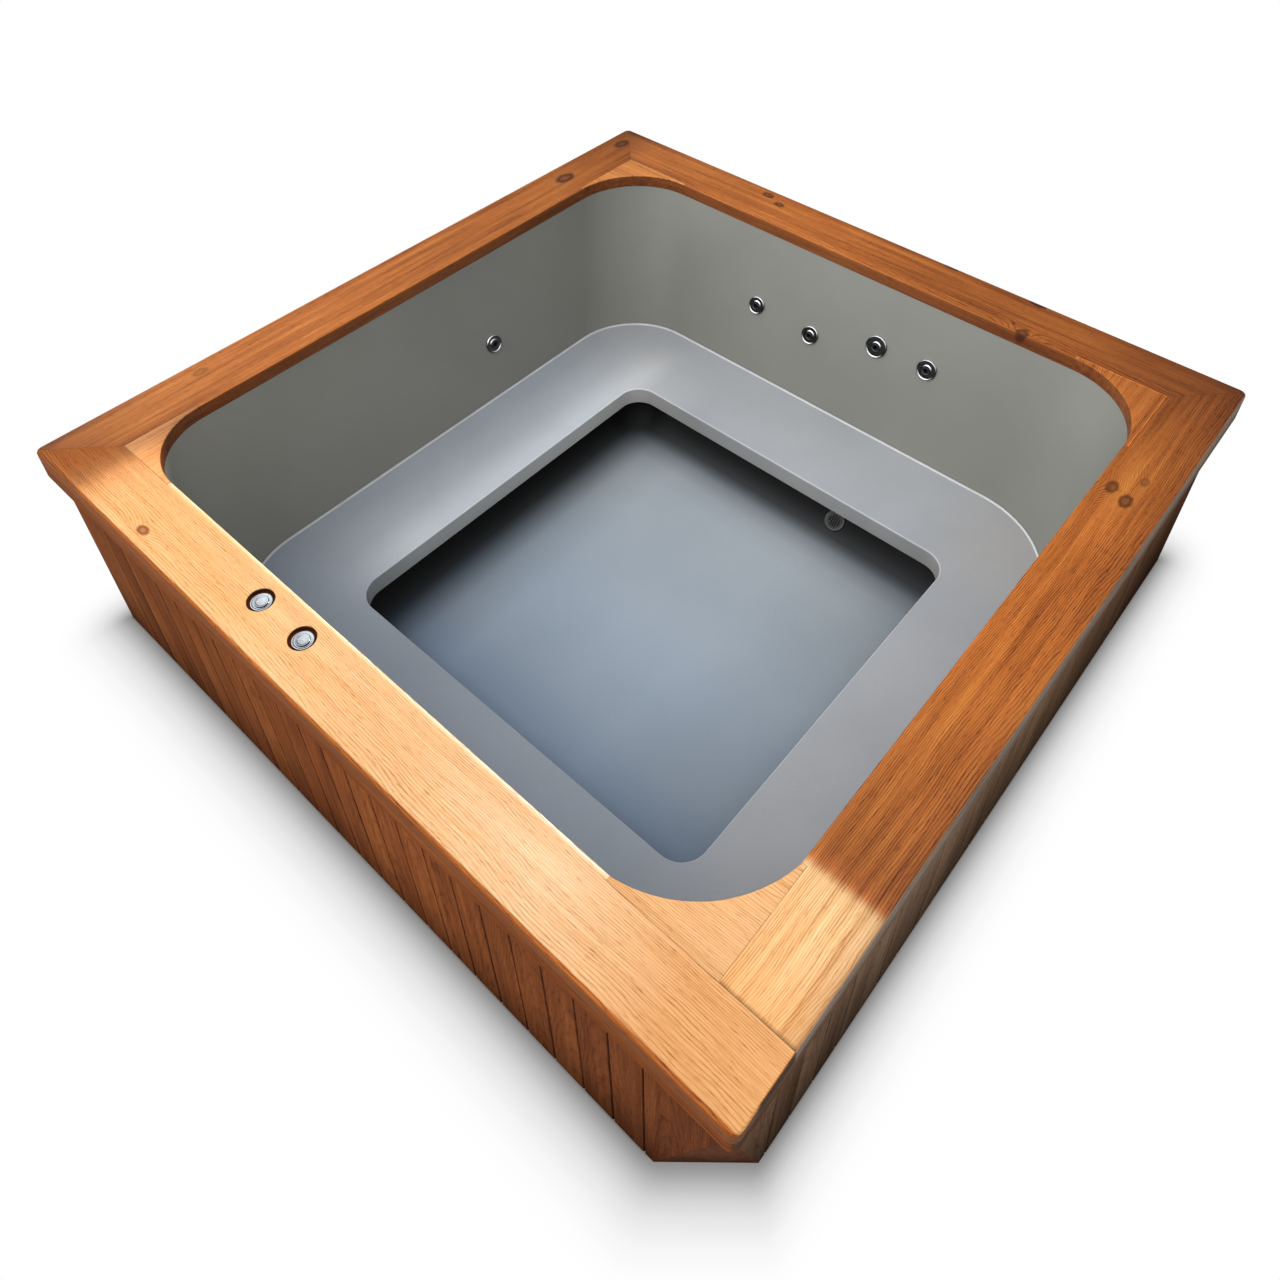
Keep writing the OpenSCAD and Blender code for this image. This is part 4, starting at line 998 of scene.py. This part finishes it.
def makePan(name):
    fillet, steps = tubShape["panFillet"], tubShape["filletSteps"]
    rise = shellUnder - panFloor
    slope = math.atan2(rise, tubShape["panRun"])
    # the fillet between the sloping side and the floor touches both, this far from their corner
    reach = fillet * math.tan(slope / 2)
    rounding = []
    for part in range(steps, -1, -1):
        a = slope * part / steps
        out = fillet * math.sin(a) - reach
        height = panFloor + fillet - fillet * math.cos(a)
        rounding.append((grown(lip, out), [tubShape["panRadius"] + out] * 4, height))
    flange = panAt(shellUnder, tubShape["panFlange"])
    pan = loft(name, [flange, panAt(shellUnder), *rounding], closed=False, floor=True)
    editAll(pan)
    bpy.ops.mesh.normals_make_consistent(inside=False)
    leaveEdit()
    lowest = min(pan.data.polygons, key=lambda f: f.center.z)
    under = -1 if lowest.normal.z > 0 else 1
    applyStep(pan, "SOLIDIFY", thickness=tubShape["panSkin"], offset=under)
    return pan


# Making everything

bpy.context.scene.view_settings.view_transform = "Standard"
setCamera()
setSky()
setFloor()
setSun()
print("camera, floor and light are set")

sideNames = ("front", "right", "back", "left")
acrossRim = (-half, half)
# Down their sides the boards take painted shade, darker than their sunlit tops.
sidesInPaintedShade = (claddingAndSideShadeColours, 2, rimTop - 1 * mm, rimTop - 3 * mm)
# In all that follows an axis is 0, 1 or 2, for X, Y or Z. A board's knots are given by their
# places along and across it, their size and how dark they are.
frontBoardWood = makeWood(
    "oiledHardwoodFront", {**paintedSunWood, "colours": russetColours}, "X", -1.22,
    knots=[(-0.683, -1.105, 0.012, 0.9)],
    covers=[
        # painted sunlight: the sunlit colours take over from the shaded left end
        (paintedSunColours, 0, -1.04, -0.80),
        # painted light and shade along the board
        (0, *acrossRim, [
            (0, (0.8, 0.76, 0.72)), (0.07, (1, 0.95, 0.9)), (0.3, 1), (0.55, (1, 1.03, 1.18)),
            (0.78, (0.95, 1.05, 1.34)), (0.92, (0.78, 0.7, 0.64)), (1, (0.78, 0.7, 0.62)),
        ]),
        # a painted highlight along the edge over the water
        (1, -0.990, -0.976, [(0.2, 1), (0.5, (1.15, 1.35, 1.7)), (0.8, (1.4, 1.7, 2.3))]),
        # painted shade on the board's side and front faces
        (frontSideShadeColours, 2, rimTop - 4 * mm, rimTop - 6 * mm),
        (frontSideShadeColours, 1, -1.138, -1.143),
        # painted shade inside the button holes
        (2, rimTop - 4 * mm, rimTop - 0.5 * mm, [
            (0, (0.2, 0.15, 0.12)), (0.6, (0.25, 0.19, 0.15)), (1, 1),
        ], (1, 1.1, 1.08), (1, 0.98, 0.99)),
    ]
)
# Painted sunlight pales its near end, and painted shade greys its right-hand face.
rightBoardWood = makeWood(
    "oiledHardwoodRight", rimWood, "Y", -1.24,
    knots=[(0.56, -1.015, 0.015, 0.75), (0.535, -1.06, 0.016, 0.8), (0.63, -1.07, 0.011, 0.5)],
    covers=[
        (paintedSunColours, 1, -0.700, -0.728),
        # painted shade along its outer edge
        (0, 1.10, 1.15, [(0, 1), (1, (0.68, 0.64, 0.6))]),
        # painted light and shade along the board
        (1, *acrossRim, [
            (0.07, (0.3, 0.24, 0.2)), (0.073, (0.92, 0.84, 0.72)), (0.12, 0.97),
            (0.185, (1, 1.1, 1.22)), (0.2, (0.82, 0.8, 0.78)), (0.28, (1, 1, 0.95)),
            (0.5, (1.25, 1.2, 1)), (0.66, (1.22, 1.18, 1)), (0.85, (0.8, 0.74, 0.62)),
            (0.94, (0.6, 0.52, 0.44)), (1, (0.4, 0.34, 0.3)),
        ]),
        # painted shade down its sides and on its right-hand face
        sidesInPaintedShade, (rightSideShadeColours, 0, 1.1455, 1.149),
    ]
)
backBoardWood = makeWood(
    "oiledHardwoodBack", rimWood, "X", 0.93,
    knots=[(-0.46, 1.115, 0.014, 0.8), (-0.396, 1.09, 0.012, 0.8), (0.56, 0.985, 0.013, 0.8),
           (0.241, 1.159, 0.022, 0.95), (0.535, 1.15, 0.018, 0.95)],
    covers=[
        # painted shade along its outer edge
        (1, 1.11, 1.15, [(0, 1), (1, (0.72, 0.68, 0.64))]),
        # painted light and shade along the board
        (0, *acrossRim, [
            (0, (0.38, 0.36, 0.36)), (0.08, 1), (0.25, (1.15, 1.15, 1.12)),
            (0.45, (1.15, 1.12, 1.05)), (0.6, (0.92, 0.88, 0.78)), (0.8, (0.76, 0.7, 0.58)),
            (0.93, (0.54, 0.48, 0.42)), (1, (0.36, 0.32, 0.3)),
        ]),
        # painted shade down its sides
        sidesInPaintedShade,
    ]
)
leftBoardWood = makeWood(
    "oiledHardwoodLeft", rimWood, "Y", 0.86,
    knots=[(0.734, 1.075, 0.024, 0.85), (-0.696, 1.103, 0.014, 0.4), (1.05, 1.09, 0.02, 0.8)],
    covers=[
        # painted shade along its outer edge
        (0, -1.11, -1.15, [(0, 1), (1, (0.86, 0.84, 0.83))]),
        # painted light and shade along the board
        (1, *acrossRim, [
            (0, (0.72, 0.68, 0.62)), (0.1, (1.15, 1.2, 1.2)), (0.25, (1.32, 1.34, 1.32)),
            (0.45, (1.22, 1.22, 1.18)), (0.7, 1.1), (0.9, (0.85, 0.82, 0.75)),
            (1, (0.6, 0.56, 0.52)),
        ]),
        # painted shade down its sides
        sidesInPaintedShade,
    ]
)
rimBoards = {                # quarter turns, left and right end, wood
    "front": (0, "mitre", "through", frontBoardWood),
    "right": (1, "butt", "mitre", rightBoardWood),
    "back": (2, "mitre", "mitre", backBoardWood),
    "left": (3, "mitre", "mitre", leftBoardWood),
}
for side, (turns, leftEnd, rightEnd, wood) in rimBoards.items():
    arcs = (leftArcStart if side == tight else arcStart for tight in ("front", "left"))
    board = makeRimBoard(f"rimBoard_{side}", turns, leftEnd, rightEnd, *arcs)
    easeEdges(board, rimShape["jointEase"])
    if side == "front":
        cutButtonHoles(board)
    finish(board, wood)
    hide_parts(f"rim_board_{side}")


def jointPaintedLight(sx, sy, tone):
    # A painted highlight or painted shade along the sanded edge of an infill's two joints, paler or darker than
    # the wood
    line = [(0, 1), (0.3, tone), (1, tone)]
    return [
        (axis, sign * (notchHalf - 4 * mm), sign * notchHalf, line)
        for axis, sign in ((0, sx), (1, sy))
    ]


# The front infill lies in painted sunlight, toned a little darker.
frontInfillWood = makeWood(
    "oiledHardwoodFrontInfill", paintedSunWood, "X", -0.66, knots=[(0.83, -0.885, 0.007, 0.45)],
    covers=[(0, 0.7, 1, [(0, (0.8, 0.78, 0.8)), (1, (0.86, 0.84, 0.86))])]
)
rightInfillWood = makeWood("oiledHardwoodRightInfill", rimWood, "Y", -0.66, covers=[
    # painted light across it
    (1, 0.7, 1, [(0, (1.1, 1.08, 1)), (1, (1, 0.95, 0.85))]),
    *jointPaintedLight(1, 1, 1.9), sidesInPaintedShade,
])
backInfillWood = makeWood("oiledHardwoodBackInfill", rimWood, "X", 1.12, covers=[
    # painted bluish light across it
    (1, 0.7, 1, [(0, (1.5, 1.8, 2.3)), (1, (1.65, 2.05, 2.7))]),
    *jointPaintedLight(-1, 1, 0.7), sidesInPaintedShade,
])
leftInfillWood = makeWood("oiledHardwoodLeftInfill", rimWood, "Y", 1.12, covers=[
    # painted sunlight on its near end, and painted light across it
    (paintedSunColours, 1, -0.6, -1.1),
    (1, -1, -0.7, [
        (0, (1.2, 0.98, 0.82)), (0.25, (1.2, 1, 0.85)), (0.42, (1.15, 1.03, 0.95)),
        (1, (1.12, 1.08, 1.05)),
    ]),
    *jointPaintedLight(-1, -1, 0.75), sidesInPaintedShade,
])
rimInfills = {               # which way its corner points along X and Y, and its wood
    "front": (1, -1, frontInfillWood),
    "right": (1, 1, rightInfillWood),
    "back": (-1, 1, backInfillWood),
    "left": (-1, -1, leftInfillWood),
}
for corner, (sx, sy, wood) in rimInfills.items():
    infill = makeInfill(f"rimInfill_{corner}", sx, sy)
    easeEdges(infill, rimShape["jointEase"])
    finish(infill, wood)
    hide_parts(f"rim_infill_{corner}")

# painted shade, darker towards the right apron's near tip
nearTipPaintedShade = (1, -1.15, -0.65, [
    (0, (0.5, 0.38, 0.31)), (0.3, (0.68, 0.54, 0.46)), (1, (1, 0.93, 0.88)),
])
# The right apron takes the right side's painted shade.
apronWoods = (
    makeWood("oiledHardwoodApronX", claddingWood, "X", -1.15),
    makeWood("paintedShadeHardwoodApronRight", rightSideShadeWood, "Y", -1.15, covers=[nearTipPaintedShade]),
    makeWood("oiledHardwoodApronBack", claddingWood, "X", 1.15),
    makeWood("oiledHardwoodApronY", claddingWood, "Y", 1.15),
)
apron = makeApron("rimApron_front")
easeEdges(apron, rimShape["jointEase"])
for strip, side, wood in zip(allFourSides(apron, "rimApron"), sideNames, apronWoods):
    finish(strip, wood)
    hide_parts(f"rim_apron_{side}")
print("rim is made")

# Painted shade: the boards are darker towards the ground.
claddingPaintedShade = [(2, 0, 0.6, [
    (0, (0.34, 0.33, 0.32)), (0.04, (0.44, 0.43, 0.42)), (0.17, (0.6, 0.58, 0.56)), (0.4, 0.9),
    (0.7, 1),
])]
# painted light and shade along the front boards, darkest and bluest at the right-hand end
frontCladdingPaintedLight = claddingPaintedShade + [(0, -1.1, 1.1, [
    (0, (0.86, 0.86, 0.8)), (0.3, 1), (0.64, 1.08), (0.9, (0.74, 0.72, 0.78)),
    (1, (0.66, 0.66, 0.74)),
])]
# On the right side, painted shade: darker towards the ground, with painted light and shade along it.
rightSidePaintedShade = [
    (2, 0, 0.6, [
        (0, 0.16), (0.04, (0.24, 0.23, 0.22)), (0.17, (0.33, 0.31, 0.28)),
        (0.33, (0.44, 0.41, 0.37)), (0.5, (0.6, 0.56, 0.5)), (0.67, (0.78, 0.75, 0.7)), (0.9, 1),
    ]),
    (1, -cladHalf, cladHalf, [
        (0, (0.9, 0.7, 0.62)), (0.09, (1.05, 0.88, 0.8)), (0.25, (1.5, 1.38, 1.35)),
        (0.5, (1.3, 1.15, 1.05)), (1, (0.6, 0.4, 0.32)),
    ]),
]
boardsInTree = {             # start keeps the count of boards above zero
    "start": 40 * boardPitch - firstEdge, "pitch": boardPitch, "spread": 0.16,
    "span": (39.5 - claddingShape["fieldBoards"], 40.5),
}
claddingWoods = [
    makeWood(f"oiledCladding{name}", look, along, 0, (), tones, {**boardsInTree, "sign": sign})
    for name, look, along, sign, tones in (
        ("Front", claddingWood, "Zx", 1, frontCladdingPaintedLight),
        ("Right", rightSideShadeWood, "Zy", 1, rightSidePaintedShade),
        ("Back", claddingWood, "Zx", -1, claddingPaintedShade),
        ("Left", claddingWood, "Zy", -1, claddingPaintedShade),
    )
]
sideOne = makeCladdingSide("cladding_boards_front")
claddings = allFourSides(sideOne, "cladding_boards")
for boards in claddings[:2]:
    combine(boards, makeFacetBody("facetCut", claddingShape["facetCut"]), "DIFFERENCE")
for boards, side, wood in zip(claddings, sideNames, claddingWoods):
    finish(boards, wood)
    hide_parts(f"cladding_{side}")
facet = makeFacetBody("facetBoard", 0)
cutAway(facet, (0, 0, 0), (0, 0, -1))
finish(facet, claddingWoods[0])
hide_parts("facet_board")
print("cladding is made")

shell = makeShell("mouldedShell")
finish(shell, makeGelcoat("sprayedGelcoatWalls", "walls"))
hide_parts("tub_shell")
bench = makeBench("benchSlab")
finish(bench, makeGelcoat("sprayedGelcoatBench", "bench"))
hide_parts("bench")
pan = makePan("footwell")
finish(pan, makeGelcoat("sprayedGelcoatFootwell", "pan"))
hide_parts("footwell_pan")
print("tub is made")

# The nodes that stay as they were packed get their finish by the record's material slots, and
# the suction cover its own: the same steel darkened with painted shade, as it lies in the
# footwell's shade, and a painted highlight that makes its rim lighter than its middle.
coverLow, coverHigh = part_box("suction_cover")
steel, even = ("#a9adb0", "#c9cdd0"), (0.7,) * 3
finishes = {
    # painted reflections: brightest where the faces turn up
    "stainless": makePlainFinish(
        "polishedStainless", *steel, 0.2, even, 0.05, metallic=1,
        paintedLightByTilt=((0.12, 0, 0.99), [(0.05, 0.06), (0.45, 0.2), (0.62, 0.7), (0.85, 3)])
    ),
    "suction_cover": makePlainFinish(
        "stainlessInShade", *steel, 0.4, even, 0.05, metallic=1,
        paintedLightByTilt=((0, 0, 1), [(0, 0.12), (1, 0.12)]),
        rings=(tuple((coverLow + coverHigh) / 2), (coverHigh.x - coverLow.x) / 2, [
            (0, (0.5, 0.48, 0.46)), (0.7, (0.5, 0.48, 0.46)), (0.78, (0.9, 0.88, 0.85)),
            (1, (1.3, 1.28, 1.25)),
        ])
    ),
    # painted reflections: brightest where the faces turn straight up
    "chrome": makePlainFinish(
        "chromePlatedBrass", "#9da2a9", "#c3c8ce", 0.16, (1.5,) * 3, 0.03, metallic=1,
        paintedLightByTilt=((0, 0, 1), [(0.1, 0.03), (0.6, 0.06), (0.9, 0.3), (0.985, 1.1)])
    ),
    "nozzle_plastic": makePlainFinish(
        "mouldedBlackAcetal", "#141516", "#25272a", 0.45, (0.6,) * 3, 0.1, gloss=0.2
    ),
    "heater_steel": makePlainFinish(
        "brushedStainlessTube", "#8b8f92", "#b4b8ba", 0.34, (40, 0.5, 0.5), 0.1, metallic=1
    ),
    "frame_timber": makeWood("sawnSpruce", sawnWood, "X"),
    "base_plywood": makeWood("birchPlywood", sawnWood, "Y"),
}
for slot, name, dark, pale, roughness, grain, relief in (
    ("rubber", "mouldedNitrileRubber", "#18191a", "#2a2b2c", 0.7, 0.8, 0.15),
    ("pipe_plastic", "extrudedWhitePvc", "#d2d2cd", "#e2e2de", 0.3, 3, 0.06),
    ("air_tube", "extrudedClearVinyl", "#b4babd", "#cfd4d6", 0.22, 4, 0.05),
    ("motor_paint", "powderCoatedAluminium", "#1d2023", "#2c3034", 0.5, 0.9, 0.3),
    ("box_plastic", "texturedGreyAbs", "#44474a", "#55595c", 0.6, 0.7, 0.4),
    ("sealant", "smoothedSilicone", "#b9bdc0", "#cfd2d3", 0.35, 6, 0.1),
):
    finishes[slot] = makePlainFinish(name, dark, pale, roughness, (grain,) * 3, relief)
for part in frame["record"]["subparts"]:
    material = finishes.get(part["node"]) or finishes.get(part["material_slot"])
    if material:
        materials = frame["nodes"][part["node"]].data.materials
        materials.clear()
        materials.append(material)
print("finishes are on")

# Each button's rubber bellows gets a mesh of its own.
for joint in frame["joints"]:
    if joint["name"].startswith("button_press"):
        bellows = frame["nodes"][joint["name"].replace("press", "bellows")]
        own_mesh(bellows)
